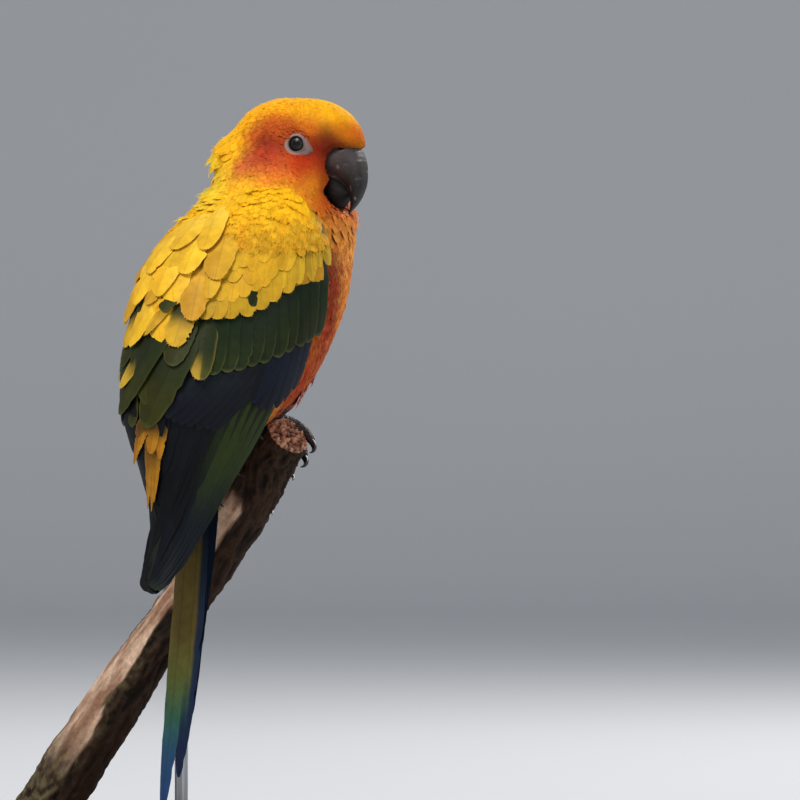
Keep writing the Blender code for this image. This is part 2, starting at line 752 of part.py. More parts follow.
def tail(flesh, collection):
    """The long graduated tail: a slim core with feathers fused on in pairs."""
    rings = []
    for i in range(7):
        t = i / 6 * 0.42
        wide, thick = 6.5 - 2.6 * t, 2.4 - 2.6 * t
        turns = [2 * math.pi * j / 10 for j in range(10)]
        rings.append([tail_point(t, wide * math.cos(a), 2.2 + thick * math.sin(a)) for a in turns])
    core = outward(loft("core", rings, collection))
    feathers = []
    for pair, (lengths, shifts, depth, width) in enumerate(TAIL_PAIRS):
        for side, reach in zip((-1, 1), lengths):
            stations = (0.06, 0.3, 0.55, 0.78, 0.92, 1)
            centre = []
            for s in stations:
                across = side * (shifts[0] + (shifts[1] - shifts[0]) * s)
                centre.append(tail_point(s * reach, across, depth + 0.17 * (side + 1)))
            widths = [width / 2 * w for w in (0.55, 0.9, 1, 0.86, 0.6, 0.16)]
            label = f"tail_{pair}_{side}"
            normals, sides = [-BODY_FORWARD] * 6, [BODY_RIGHT] * 6
            feathers.append(vane(label, centre, sides, normals, widths, collection))
    for i, (shift, length) in enumerate(TAIL_COVERTS):
        centre = [tail_point(s * length, shift, -0.6 - 0.7 * s) for s in (0.02, 0.4, 0.75, 1)]
        normals, sides = [-BODY_FORWARD] * 4, [BODY_RIGHT] * 4
        label = f"tail_covert_{i}"
        feathers.append(vane(label, centre, sides, normals, [2.4, 3.2, 2.8, 0.9], collection))
    boolean(core, feathers, "UNION")
    room = back_feathers(collection, GAP) + [inflated(flesh, GAP)]
    boolean(core, room, "DIFFERENCE")
    core.name = "tail"
    return core


def branch_point(t):
    """Centre and radius of the branch at share t of its length, on one smooth curve."""
    spot = t * (len(BRANCH) - 1)
    i = min(int(spot), len(BRANCH) - 2)
    s = spot - i
    rows = [BRANCH[min(max(k, 0), len(BRANCH) - 1)] for k in (i - 1, i, i + 1, i + 2)]

    def blend(a, b, c, d):
        return b * 1.0 + (c - a) * (0.5 * s) + (a - b * 2.5 + c * 2 - d * 0.5) * s**2 + (
            b * 1.5 - a * 0.5 - c * 1.5 + d * 0.5
        ) * s**3

    return blend(*(r[0] for r in rows)), blend(*(r[1] for r in rows))


def branch_frame(t):
    """Centre, radius, way down the branch, its upper side and its side away from the tail."""
    centre, radius = branch_point(t)
    ahead = (branch_point(min(t + 0.01, 1))[0] - branch_point(max(t - 0.01, 0))[0]).normalized()
    top = (UP - ahead * UP.dot(ahead)).normalized()
    return centre, radius, ahead, top, ahead.cross(top)


def perch(collection):
    """The branch: a knotty tapering trunk, chewed at the top and sawn level at the foot."""
    rings = []
    for i in range(BRANCH_RINGS):
        t = i / (BRANCH_RINGS - 1)
        centre, radius, ahead, top, far = branch_frame(t)
        ring = []
        for j in range(BRANCH_SIDES):
            a = 2 * math.pi * j / BRANCH_SIDES
            way = top * math.cos(a) - far * math.sin(a)
            bump = noise.noise((centre + way * radius) * 0.09) * BRANCH_RELIEF
            frayed = noise.noise((way * 9 + centre) * 0.2) * 1.6 if i == 0 else 0
            shrink = 0.9 if i == 0 else 1
            ring.append(centre + way * (radius * shrink + bump) + ahead * frayed)
        rings.append(ring)
    made = outward(loft("perch_form", rings, collection))
    cut = half(made, "perch", Vector((0, 0, SAWN_HEIGHT)), UP, collection)
    bpy.data.objects.remove(made)
    return cut


def stand(perch_obj, collection):
    """The base plate and the two rods that carry the branch."""
    mesh = bmesh.new()
    bmesh.ops.create_cube(mesh, size=1)
    for vert in mesh.verts:
        vert.co = Vector(c * s * MM for c, s in zip(vert.co, BASE_SIZE))
    data = bpy.data.meshes.new("stand_base")
    mesh.to_mesh(data)
    mesh.free()
    base = bpy.data.objects.new("stand_base", data)
    base.location.z = BASE_SIZE.z / 2 * MM
    collection.objects.link(base)
    edge = base.modifiers.new("edge", "BEVEL")
    edge.width = BASE_BEVEL * MM
    edge.segments = 3
    for name, (foot, radius, top) in (("stand_rod_high", HIGH_ROD), ("stand_rod_low", LOW_ROD)):
        low = foot + UP * (BASE_SIZE.z + GAP)
        rod = tube(name, [low, foot + UP * top], [radius, radius], 20, collection)
        outward(rod)
        hole_path = [foot, foot + UP * (top + GAP)]
        hole = outward(tube("hole", hole_path, [radius + GAP] * 2, 20, collection))
        boolean(perch_obj, [hole], "DIFFERENCE")


def toe_path(start, end, radius, steps=5):
    """Points of a toe that curls round the branch, between two (place, angle) pairs."""
    path = []
    for i in range(steps):
        share = i / (steps - 1)
        spot, turn = (a + (b - a) * share for a, b in zip(start, end))
        centre, thick, _, top, far = branch_frame(max(0.0, spot))
        a = math.radians(turn)
        path.append(centre + (top * math.cos(a) + far * math.sin(a)) * (thick + radius + GAP))
    return path


def foot(name, place, thigh_form, near, perch_obj, collection):
    """A foot and its bare shank: two toes wrap forward and two back, each with its claw."""
    t, toes = place
    centre, thick, ahead, top, far = branch_frame(t)
    forward = 1 if far.dot(BODY_FORWARD) > 0 else -1
    pad = centre + top * (thick + TOE_RADIUS + 0.8)
    ankle = body(*thigh_form[1])
    shank = [ankle + UP, ankle.lerp(pad, 0.5), pad - top * 0.5]
    pieces = [tube("shank", shank, [2.9, 2.6, 2.9], 8, collection)]
    for spot, wrap in toes:
        turn = wrap * forward
        sign = math.copysign(forward, turn)
        path = toe_path((t, 2 * sign), (spot, turn), TOE_RADIUS)
        radii = [TOE_RADIUS * r for r in (1.15, 1.0, 1.08, 0.95, 0.85)]
        pieces.append(tube("toe", path, radii, 6, collection))
        curl = (CLAW_WRAP if wrap > 0 else BACK_CLAW_WRAP) * sign * forward
        claw = toe_path((spot, turn - curl * 0.15), (spot, turn + curl), CLAW_RADIUS)
        middle = branch_frame(max(0.0, spot))[0]
        claw = [p + (p - middle).normalized() * h for p, h in zip(claw, (0.0, 0.9, 1.2, 0.9, 0.1))]
        sizes = [CLAW_RADIUS * r for r in (1.0, 0.95, 0.75, 0.5, 0.18)]
        pieces.append(tube("claw", claw, sizes, 5, collection))
    for piece in pieces:
        outward(piece)
    made = boolean(pieces[0], pieces[1:], "UNION")
    for other in (perch_obj, *near):
        boolean(made, [inflated(other, GAP)], "DIFFERENCE")
    made.name = name
    return made


COLORS = {
    "coat_yellow": ((0.95, 0.62, 0.06), 0.7, ("torso", "neck", "wing_right", "wing_left")),
    "coat_orange": ((0.9, 0.34, 0.05), 0.7, ("head", "leg_right", "leg_left")),
    "tail_green": ((0.22, 0.24, 0.07), 0.6, ("tail",)),
    "bill_horn": ((0.09, 0.08, 0.08), 0.35, ("bill_upper", "bill_lower")),
    "eye_dark": ((0.05, 0.04, 0.04), 0.1, ("eye_right", "eye_left")),
    "foot_skin": ((0.2, 0.15, 0.14), 0.6, ("foot_right", "foot_left")),
    "branch_bark": ((0.3, 0.2, 0.13), 0.85, ("perch",)),
    "stand_wood": ((0.05, 0.04, 0.035), 0.4, ("stand_base",)),
    "stand_steel": ((0.5, 0.5, 0.5), 0.35, ("stand_rod_high", "stand_rod_low")),
}


def main():
    for obj in list(bpy.data.objects):
        bpy.data.objects.remove(obj)
    parts = bpy.data.collections.new("sun_conure")
    bpy.context.scene.collection.children.link(parts)

    flesh = whole_body(parts)
    above_neck = (HEAD_CUT[0] + HEAD_CUT[1].normalized() * GAP / 2, HEAD_CUT[1])
    head_obj = half(flesh, "head", *above_neck, parts)
    upper_neck = half(flesh, "neck_form", HEAD_CUT[0] - HEAD_CUT[1].normalized() * GAP / 2, -HEAD_CUT[1], parts)
    lower = NECK_CUT[1].normalized() * GAP / 2
    half(upper_neck, "neck", NECK_CUT[0] + lower, NECK_CUT[1], parts)
    torso = half(flesh, "torso", NECK_CUT[0] - lower, -NECK_CUT[1], parts)
    bpy.data.objects.remove(upper_neck)
    boolean(torso, back_feathers(parts), "UNION")

    bills(head_obj, parts)
    eyes(head_obj, parts)
    legs = []
    for name, form in (("leg_right", THIGH_RIGHT), ("leg_left", THIGH_LEFT)):
        leg = outward(thigh(name, form, parts))
        legs.append(boolean(leg, [inflated(flesh, GAP)], "DIFFERENCE"))
    wing("wing_right", 1, flesh, parts)
    wing("wing_left", -1, flesh, parts)
    tail(flesh, parts)
    perch_obj = perch(parts)
    foot("foot_right", RIGHT_FOOT, THIGH_RIGHT, (flesh, legs[0]), perch_obj, parts)
    foot("foot_left", LEFT_FOOT, THIGH_LEFT, (flesh, legs[1]), perch_obj, parts)
    stand(perch_obj, parts)
    bpy.data.objects.remove(flesh)

    for name, (color, roughness, nodes) in COLORS.items():
        metallic = 1.0 if name == "stand_steel" else 0.0
        made = material(name, color, roughness, metallic)
        for node in nodes:
            if node in parts.objects:
                parts.objects[node].data.materials.clear()
                parts.objects[node].data.materials.append(made)


main()
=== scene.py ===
"""The looks of a sun conure on its branch: skin, coat, wings, tail, bill, eyes, feet, bark and stand."""

import math
from functools import cache

import bmesh
import bpy
import numpy as np
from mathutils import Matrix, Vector, noise
from mathutils.bvhtree import BVHTree
from mathutils.kdtree import KDTree


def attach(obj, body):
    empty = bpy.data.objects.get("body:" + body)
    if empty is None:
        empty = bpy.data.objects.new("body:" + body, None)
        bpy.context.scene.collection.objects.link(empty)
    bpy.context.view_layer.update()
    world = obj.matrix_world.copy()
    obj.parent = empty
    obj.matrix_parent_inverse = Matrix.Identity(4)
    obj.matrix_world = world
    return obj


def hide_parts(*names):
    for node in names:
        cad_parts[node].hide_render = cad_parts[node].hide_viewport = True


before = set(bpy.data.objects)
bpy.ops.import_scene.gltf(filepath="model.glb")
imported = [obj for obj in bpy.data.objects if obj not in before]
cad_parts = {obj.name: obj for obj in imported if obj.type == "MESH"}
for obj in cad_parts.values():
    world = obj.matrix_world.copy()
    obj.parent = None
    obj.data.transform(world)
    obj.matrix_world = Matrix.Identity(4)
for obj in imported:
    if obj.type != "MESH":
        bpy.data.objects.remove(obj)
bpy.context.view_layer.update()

# Sizes here are millimetres, as in the model's own named sections, and metres only in the meshes.
MM = 0.001
UP = np.array((0.0, 0.0, 1.0))

# The body's frame: forward, right and up, from an axis that stands over the base.
BODY_YAW = math.radians(45)
BODY_FORWARD = np.array((math.cos(BODY_YAW), math.sin(BODY_YAW), 0))
BODY_RIGHT = np.array((math.sin(BODY_YAW), -math.cos(BODY_YAW), 0))
BODY_AXIS = np.array((7.4, -10.0, 0.0))

# The head's frame, turned to its right.
HEAD_YAW = math.radians(-25)
HEAD_FORWARD = np.array((math.cos(HEAD_YAW), math.sin(HEAD_YAW), 0))
HEAD_RIGHT = np.array((math.sin(HEAD_YAW), -math.cos(HEAD_YAW), 0))
HEAD_CENTRE = np.array((34.4, 17.0, 260.0))

# Level sections of the torso and of the folded wings' outer surface: height, centre, half length
# and half width in the body's frame.
TORSO = np.array((
    (254, 37, 5, 5), (250, 36, 16, 13), (246, 34.8, 25, 19), (242, 33.5, 29.5, 22),
    (236, 32, 34.5, 25), (228, 27.5, 37, 26), (205, 14.5, 44, 30.5), (187, 8, 40.5, 30),
    (178, 5, 37.5, 28), (168, -0.5, 32, 25), (155, -9, 21, 17), (142, -11.5, 13.5, 12),
    (130, -12.5, 8.5, 8.5), (121, -13, 5.5, 6.5), (116, -13, 2.5, 3.5),
), float)
WINGS = np.array((
    (254, 27, 6, 6), (249, 27, 16, 16), (240, 27, 27, 27), (224, 18.8, 37, 34),
    (205, 11, 41, 37.5), (187, 4.4, 40, 34.5), (168, -4.2, 36.5, 28.5), (150, -8.9, 27.5, 22),
    (131, -10.5, 18.5, 15), (113, -18.3, 11, 12.5), (98, -26, 9.5, 8.5), (90, -31, 7, 6),
), float)
NEAR_LIMIT = 0.97

# The camera, in metres: level, far off, and cropped as the photograph is.
CAMERA_PLACE = (0.07585, -3.01, 0.1684)
FRAME_HEIGHT = 0.296
CAMERA_DISTANCE = 3.0
SENSOR = 36


def srgb(color):
    """Linear red, green and blue from the 0 to 255 values that a screen shows."""
    share = np.asarray(color, float) / 255
    return np.where(share <= 0.04045, share / 12.92, ((share + 0.055) / 1.055) ** 2.4)


def unit(vectors):
    length = np.linalg.norm(vectors, axis=-1, keepdims=True)
    return vectors / np.maximum(length, 1e-9)


def smooth(value, low=0.0, high=1.0):
    t = np.clip((value - low) / (high - low), 0, 1)
    return t * t * (3 - 2 * t)


def mix(a, b, share):
    return a + (b - a) * share


def body(u, v, z):
    """Points of the body's frame in world coordinates."""
    u, v, z = (np.asarray(part, float)[..., None] for part in np.broadcast_arrays(u, v, z))
    return BODY_AXIS + BODY_FORWARD * u + BODY_RIGHT * v + UP * z


def head(u, v, w):
    """Points of the head's frame in world coordinates."""
    u, v, w = (np.asarray(part, float)[..., None] for part in np.broadcast_arrays(u, v, w))
    return HEAD_CENTRE + HEAD_FORWARD * u + HEAD_RIGHT * v + UP * w


def in_head(points):
    return (points - HEAD_CENTRE) @ np.array((HEAD_FORWARD, HEAD_RIGHT, UP)).T


def in_body(points):
    return (points - BODY_AXIS) @ np.array((BODY_FORWARD, BODY_RIGHT, UP)).T


def mirrored(points):
    """Mirror images across the body's own middle plane."""
    across = (points - BODY_AXIS) @ BODY_RIGHT
    return points - 2 * across[..., None] * BODY_RIGHT


def section(table, z):
    """Centre, half length and half width of a table of sections at the heights z."""
    z = np.clip(np.asarray(z, float), table[-1, 0], table[0, 0])
    last = len(table) - 1
    i = np.clip(np.searchsorted(-table[:, 0], -z, side="right") - 1, 0, last - 1)
    before, a, b, after = (table[np.clip(i + k, 0, last)] for k in (-1, 0, 1, 2))
    span = (a[..., 0] - b[..., 0])[..., None]
    t = ((a[..., 0] - z)[..., None]) / span
    slope_a = (b - before) / np.maximum(before[..., :1] - b[..., :1], 1e-6) * span
    slope_b = (after - a) / np.maximum(a[..., :1] - after[..., :1], 1e-6) * span
    found = (2 * t**3 - 3 * t**2 + 1) * a + (t**3 - 2 * t**2 + t) * slope_a
    found = found + (3 * t**2 - 2 * t**3) * b + (t**3 - t**2) * slope_b
    return found[..., 1], found[..., 2], found[..., 3]


def surface_point(angle, z, inset=0.0, table=WINGS):
    """Points of a table's surface, or of one inset from it, and their outward normals."""

    def spot(turn, height):
        centre, long, wide = section(table, height)
        long, wide = np.maximum(long - inset, 0.5), np.maximum(wide - inset, 0.5)
        return body(centre + long * np.cos(turn), wide * np.sin(turn), height)

    point = spot(angle, z)
    round_it = spot(angle + 0.02, z) - spot(angle - 0.02, z)
    up_it = spot(angle, z + 0.5) - spot(angle, z - 0.5)
    return point, unit(np.cross(up_it, round_it))


def surface_angle(x, z, table=WINGS):
    """The turn round a section whose point shows at x from the front, on the near side."""
    centre, long, wide = section(table, z)
    across = (x - BODY_AXIS[0]) / math.cos(BODY_YAW) - centre
    share = np.clip(across / np.hypot(long, wide), -NEAR_LIMIT, NEAR_LIMIT)
    return np.arctan2(wide, long) + np.arccos(share)


# Materials

# How far barbs run up the feather for each step aside from its shaft.
BARB_SLANT = 0.9


def material(name):
    """A node material: a function that adds a node and gives one of its outputs, and one that
    sets the shader's inputs. An input is a value or another node's output."""
    made = bpy.data.materials.new(name)
    made.use_nodes = True
    tree = made.node_tree

    def fill(node, inputs):
        for key, value in inputs.items():
            if isinstance(value, bpy.types.NodeSocket):
                tree.links.new(value, node.inputs[key])
            else:
                node.inputs[key].default_value = value

    def add(kind, inputs=None, out=0, **settings):
        node = tree.nodes.new("ShaderNode" + kind)
        for key, value in settings.items():
            setattr(node, key, value)
        fill(node, inputs or {})
        return node.outputs[out]

    def finish(inputs):
        fill(tree.nodes["Principled BSDF"], inputs)
        return made

    return add, finish


def own_tint(add):
    return add("VertexColor", layer_name="tint")


def vane_place(add):
    return add("UVMap", uv_map="vane")


def solid_place(add):
    return add("TexCoord", out="Object")


def stretched(add, place, scale):
    return add("VectorMath", {0: place, 1: scale}, operation="MULTIPLY")


def speckle(add, place, scale, detail, roughness=0.5, distortion=0.0):
    return add("TexNoise", {"Vector": place, "Scale": scale, "Detail": detail,
                            "Roughness": roughness, "Distortion": distortion})


def carried(add, value, start, end, low, high):
    """A value carried from one range to another."""
    return add("MapRange", {"Value": value, "From Min": start, "From Max": end,
                            "To Min": low, "To Max": high})


def scaled(add, color, level):
    return add("VectorMath", {0: color, "Scale": level}, operation="SCALE")


def raised(add, height, strength, distance):
    return add("Bump", {"Strength": strength, "Distance": distance, "Height": height})


def ramp(add, value, stops):
    """A colour ramp through (place, colour) stops, given as a screen shows them."""
    color = add("ValToRGB", {0: value})
    points = color.node.color_ramp.elements
    while len(points) < len(stops):
        points.new(0.5)
    for point, (place, tint) in zip(points, stops):
        point.position = place
        point.color = (*srgb(tint), 1)
    return color


def feather_material(name, pitch, relief, roughness, sheen):
    """Barbs that run out from each shaft, over the feathers' own tints."""
    add, finish = material(name)
    parts = add("SeparateXYZ", {0: vane_place(add)}).node
    aside = add("Math", {0: parts.outputs[0]}, operation="ABSOLUTE")
    slant = add("Math", {0: aside, 1: BARB_SLANT}, operation="MULTIPLY")
    along = add("Math", {0: parts.outputs[1], 1: slant}, operation="SUBTRACT")
    barbs = stretched(add, add("CombineXYZ", {0: along, 1: aside}), (10 / pitch, 1.2, 1))
    grain = speckle(add, barbs, 1.0, 2.0, 0.6)
    cloud = speckle(add, solid_place(add), 260.0, 2.0)
    both = add("Math", {0: grain, 1: 0.5, 2: cloud}, operation="MULTIPLY_ADD")
    color = scaled(add, own_tint(add), carried(add, both, 0.45, 1.05, 0.8, 1.14))
    return finish({
        "Base Color": color, "Normal": raised(add, grain, relief, 0.0003), "Roughness": roughness,
        "Specular IOR Level": 0.12, "Sheen Weight": sheen, "Sheen Roughness": 0.5,
    })


# Meshes


def new_object(name, data):
    made = bpy.data.objects.new(name, data)
    bpy.context.scene.collection.objects.link(made)
    return made


def set_tints(mesh, tints):
    """The tint of each point, which every material reads."""
    rgba = np.ones((len(tints), 4), np.float32)
    rgba[:, :3] = tints
    layer = mesh.color_attributes.new("tint", "FLOAT_COLOR", "POINT")
    layer.data.foreach_set("color", rgba.ravel())


def set_map(mesh, name, places):
    """A UV map from a place for each corner."""
    layer = mesh.uv_layers.new(name=name)
    layer.data.foreach_set("uv", places.astype(np.float32).ravel())


class Store:
    """Gathers the points, faces and maps of one joined mesh. On the left they are mirrored."""

    def __init__(self, side=1):
        self.side, self.count = side, 0
        self.points, self.normals, self.tints, self.vane = [], [], [], []
        self.faces, self.signs, self.bake = [], [], []

    def add(self, points, normals, tints, vane, faces, signs, bake):
        """Adds n like pieces: per point (n, k, ...), faces (f, 3) that all of them share, the
        way that each face looks, and per corner the place on the bake map."""
        n, k = points.shape[:2]
        if self.side < 0:
            points, normals = mirrored(points), mirrored(normals + BODY_AXIS) - BODY_AXIS
            faces = faces[:, ::-1]
            bake = bake.reshape(-1, 3, 2)[:, ::-1]
        starts = self.count + np.arange(n) * k
        self.points.append(points.reshape(-1, 3))
        self.normals.append(normals.reshape(-1, 3))
        self.tints.append(tints.reshape(-1, 3))
        self.vane.append(vane.reshape(-1, 2))
        self.faces.append((faces[None] + starts[:, None, None]).reshape(-1, 3))
        self.signs.append(np.tile(signs, n))
        self.bake.append(bake.reshape(-1, 2))
        self.count += n * k

    def build(self, name, looks):
        points, faces = np.concatenate(self.points) * MM, np.concatenate(self.faces)
        corners = faces.reshape(-1)
        mesh = bpy.data.meshes.new(name)
        mesh.vertices.add(len(points))
        mesh.vertices.foreach_set("co", points.astype(np.float32).ravel())
        mesh.loops.add(len(corners))
        mesh.loops.foreach_set("vertex_index", corners.astype(np.int32))
        mesh.polygons.add(len(faces))
        mesh.polygons.foreach_set("loop_start", np.arange(0, len(corners), 3, dtype=np.int32))
        mesh.polygons.foreach_set("use_smooth", np.ones(len(faces), bool))
        mesh.update(calc_edges=True)
        set_tints(mesh, np.concatenate(self.tints))
        set_map(mesh, "OFBake", np.concatenate(self.bake))
        set_map(mesh, "vane", np.concatenate(self.vane)[corners])
        signs = np.repeat(np.concatenate(self.signs), 3)[:, None]
        facing = np.concatenate(self.normals)[corners] * signs
        mesh.normals_split_custom_set(facing.astype(np.float32))
        mesh.materials.append(looks)
        return new_object(name, mesh)


@cache
def grid_faces(rows, columns):
    """Triangles of a closed vane whose two faces share their rim, and each triangle's face."""
    top = np.arange(rows * columns).reshape(rows, columns)
    under = top.copy()
    inner = np.arange((rows - 2) * (columns - 2)).reshape(rows - 2, columns - 2)
    under[1:-1, 1:-1] = rows * columns + inner

    def split(index):
        a, b = index[:-1, :-1], index[:-1, 1:]
        c, d = index[1:, 1:], index[1:, :-1]
        return np.stack([np.stack([a, b, c], -1), np.stack([a, c, d], -1)], 2).reshape(-1, 3)

    faces = np.concatenate([split(top), split(under)[:, ::-1]])
    half = len(faces) // 2
    return faces, np.repeat((1.0, -1.0), half)


# How far small feathers take the light of the plumage round them.
SOFTNESS = 0.8


def both_faces(top, under):
    """The points of vanes' two faces, which share their rims, from grids (n, rows, columns, k)."""
    n, width = len(top), top.shape[-1]
    return np.concatenate([top.reshape(n, -1, width), under[:, 1:-1, 1:-1].reshape(n, -1, width)], 1)


def add_vanes(store, centre, side, out, half, columns, tints, cells, cell, camber=0.12, thick=0.22,
              ridge=0.0, soft=None):
    """Adds n closed vanes through their stations. half is (n, rows, 2): the widths to the inner
    and outer side. cells are the places of their patches on the bake map, and cell their size.
    soft gives small feathers the light of the plumage that they lie in."""
    n, rows = half.shape[:2]
    t = np.asarray(columns, float)
    aside = np.where(t < 0, half[:, :, :1], half[:, :, 1:]) * t
    mean = half.mean(-1)[:, :, None]
    rise = camber * mean * (1 - t**2) + ridge * np.exp(-((t / 0.08) ** 2))
    swell = thick / 2 * (1 - t**4)
    base = centre[:, :, None] + side[:, :, None] * aside[..., None]
    lift = out[:, :, None]
    top = base + lift * (rise + swell)[..., None]
    under = base + lift * (rise - swell)[..., None]
    facing = unit(lift + side[:, :, None] * (2 * camber * t)[:, None])
    if soft is not None:
        facing = unit(mix(facing, soft[:, None, None], SOFTNESS))
    facing, tints = np.broadcast_to(facing, top.shape), np.broadcast_to(tints, top.shape)
    steps = np.linalg.norm(np.diff(centre, axis=1), axis=-1)
    along = np.concatenate([np.zeros((n, 1)), np.cumsum(steps, 1)], 1)
    vane = np.stack(np.broadcast_arrays(aside, along[:, :, None]), -1) * 0.1
    faces, signs = grid_faces(rows, len(t))
    share = along / np.maximum(along[:, -1:], 1e-6)
    flat = np.stack(np.broadcast_arrays((t + 1) / 2, share[:, :, None]), -1)
    loops = both_faces(flat, flat)[:, faces.reshape(-1)]
    if cell[0] > 0.01:
        # A large cell holds a feather's upper face in its left half and its lower in the right.
        lower = np.repeat(signs < 0, 3)
        loops = loops * (0.46, 0.94) + (0.02, 0.03)
        loops[:, lower, 0] += 0.5
    bake = cells[:, None] + loops * cell
    store.add(both_faces(top, under), both_faces(facing, facing), both_faces(tints, tints),
              both_faces(vane, vane), faces, signs, bake)


def stations(ends, normals, shares):
    """Centre, side and outward directions at shares of quadratic curves through three points.
    ends and normals are (n, 3, 3)."""
    t = np.asarray(shares, float)
    weights = np.stack([(1 - t) * (1 - 2 * t), 4 * t * (1 - t), t * (2 * t - 1)])
    slopes = np.stack([4 * t - 3, 4 - 8 * t, 4 * t - 1])
    centre = np.einsum("kr,nkc->nrc", weights, ends)
    ahead = unit(np.einsum("kr,nkc->nrc", slopes, ends))
    out = unit(np.einsum("kr,nkc->nrc", weights, normals))
    side = unit(np.cross(ahead, out))
    return centre, side, unit(np.cross(side, ahead)), ahead


def rolled(side, out, turn):
    """Turns a vane about its shaft, so that its outer edge stands up over the next."""
    c, s = math.cos(turn), math.sin(turn)
    return side * c - out * s, out * c + side * s


# Large feathers

COLUMNS = (-1, -0.8, -0.55, -0.3, -0.07, 0, 0.07, 0.3, 0.55, 0.8, 1)
FINE_ROWS = 22
# How wide a feather is along its length: where its tip starts to round, and how sharply.
SHAPES = {
    "flight": (0.42, 1.7, 0.62),
    "wingtip": (0.8, 2.4, 0.78),
    "covert": (0.6, 2.3, 0.92),
    "broad": (0.5, 2.2, 0.92),
    "round": (0.45, 2.0, 0.96),
    "pointed": (0.25, 1.25, 0.9),
    "tail": (0.5, 1.5, 0.8),
}


def outline(shape, s):
    """Half widths to the outer and inner side at shares s, as shares of the widest."""
    start, power, outer = SHAPES[shape]
    grow = 0.45 + 0.55 * smooth(s, 0, 0.3)
    fall = np.sqrt(np.clip(1 - np.clip((s - start) / (1.003 - start), 0, 1) ** power, 0.0004, 1))
    both = grow * fall
    return np.stack([both * outer, both * (2 - outer)], -1)


# Tints of each kind of feather: the outer web's root and tip, the inner web's root and tip, the
# edge, then the share of the length where root turns to tip, and how strong the edge is.
KINDS = {
    "primary": ((42, 54, 18), (11, 16, 27), (22, 28, 14), (8, 9, 13), (50, 62, 32), 0.5, 0.3),
    "mid_primary": ((31, 41, 19), (10, 13, 21), (14, 18, 14), (7, 8, 11), (28, 38, 30), 0.4, 0.3),
    "dark_primary": ((13, 15, 17), (8, 9, 12), (10, 11, 13), (6, 7, 9), (19, 22, 27), 0.4, 0.25),
    "secondary": ((11, 16, 23), (9, 12, 18), (9, 11, 14), (7, 8, 10), (17, 26, 36), 0.5, 0.3),
    "band": ((17, 24, 30), (12, 17, 26), (13, 17, 20), (9, 11, 16), (22, 34, 44), 0.6, 0.3),
    "primary_covert": ((14, 23, 38), (12, 19, 33), (13, 17, 21), (10, 12, 17), (21, 40, 66), 0.6, 0.4),
    "greater": ((22, 35, 15), (32, 42, 15), (19, 30, 15), (27, 35, 13), (104, 106, 54), 0.6, 0.45),
    "tertial": ((36, 44, 19), (50, 52, 17), (32, 38, 18), (46, 46, 16), (96, 94, 44), 0.6, 0.35),
    "tipped": ((48, 52, 24), (198, 158, 46), (50, 52, 24), (206, 164, 50), (214, 176, 74), 0.66, 0.4),
    "half_yellow": ((34, 44, 20), (66, 72, 28), (40, 46, 22), (182, 148, 48), (150, 132, 60), 0.76, 0.35),
    # The median, narrow and lesser coverts are tinted darker than the mantle: partly their own colour,
    # partly painted shade as the light falls off down the wing.
    "median": ((146, 108, 22), (188, 146, 30), (140, 104, 22), (182, 140, 28), (212, 170, 56), 0.4, 0.35),
    "narrow": ((128, 104, 24), (192, 152, 32), (92, 78, 24), (170, 134, 30), (214, 176, 56), 0.45, 0.35),
    "lesser": ((178, 128, 24), (212, 162, 34), (172, 122, 22), (206, 154, 30), (226, 182, 58), 0.45, 0.3),
    "scapular": ((222, 172, 50), (206, 154, 40), (218, 166, 48), (198, 146, 36), (232, 186, 70), 0.5, 0.3),
    "mantle": ((248, 200, 60), (236, 184, 42), (244, 194, 54), (230, 176, 38), (248, 206, 84), 0.5, 0.3),
    "dark_centre": ((50, 52, 26), (196, 152, 38), (54, 56, 28), (204, 158, 40), (216, 174, 62), 0.52, 0.4),
    "rump": ((92, 66, 20), (176, 120, 26), (84, 58, 20), (160, 104, 22), (198, 142, 44), 0.5, 0.3),
}
SOFT_KINDS = ("median", "narrow", "lesser", "scapular", "mantle", "dark_centre", "rump",
              "half_yellow", "tipped")
# How bright the shaft is beside its vane, where it differs from the usual.
SHAFT = {"primary": 0.4, "greater": 0.55, "tertial": 0.7}


def tint_of(kind, s, t, rng):
    """Linear tints of one feather on a grid of shares along and across it."""
    *colors, turn, strength = KINDS[kind]
    outer_root, outer_tip, inner_root, inner_tip, edge = (srgb(color) for color in colors)
    far = smooth(s, turn - 0.22, turn + 0.22)[:, None, None]
    web = smooth(t, -0.12, 0.16)[None, :, None]
    found = mix(mix(outer_root, outer_tip, far), mix(inner_root, inner_tip, far), web)
    toward_tip = 1 if kind in SOFT_KINDS else 0.35 + 0.65 * smooth(s, 0.6, 1)[:, None]
    rim = np.maximum(smooth(np.abs(t), 0.8, 1)[None] * toward_tip, smooth(s, 0.95, 1)[:, None])
    found = mix(found, edge, (rim * strength)[..., None])
    shaft = np.exp(-((t / 0.05) ** 2))[None, :, None] * 0.4
    found = found * (1 - shaft * (1 - SHAFT.get(kind, 0.75)) * 2)
    found = found * (1 + 0.06 * rng.standard_normal()) * (1 + 0.015 * rng.standard_normal(3))
    return np.clip(found, 0.001, 1)


class Atlas:
    """Hands out the cells of a square grid on the bake map, one to each large feather."""

    def __init__(self, across):
        self.across, self.used = across, 0

    def cell(self):
        i = self.used
        self.used += 1
        size = 1 / self.across
        return np.array([(i % self.across * size, i // self.across * size)]), (size, size)


def ragged(half, shares, spread, first, sharp, rng):
    """Half widths made uneven, with a few splits beyond the share first."""
    half = half * (1 + 0.02 * rng.standard_normal(half.shape))
    for _ in range(rng.poisson(spread)):
        place, edge = rng.uniform(first, 0.97), rng.integers(2)
        half[:, edge] *= 1 - rng.uniform(0.1, 0.3) * np.exp(-(((shares - place) / sharp) ** 2))
    return half


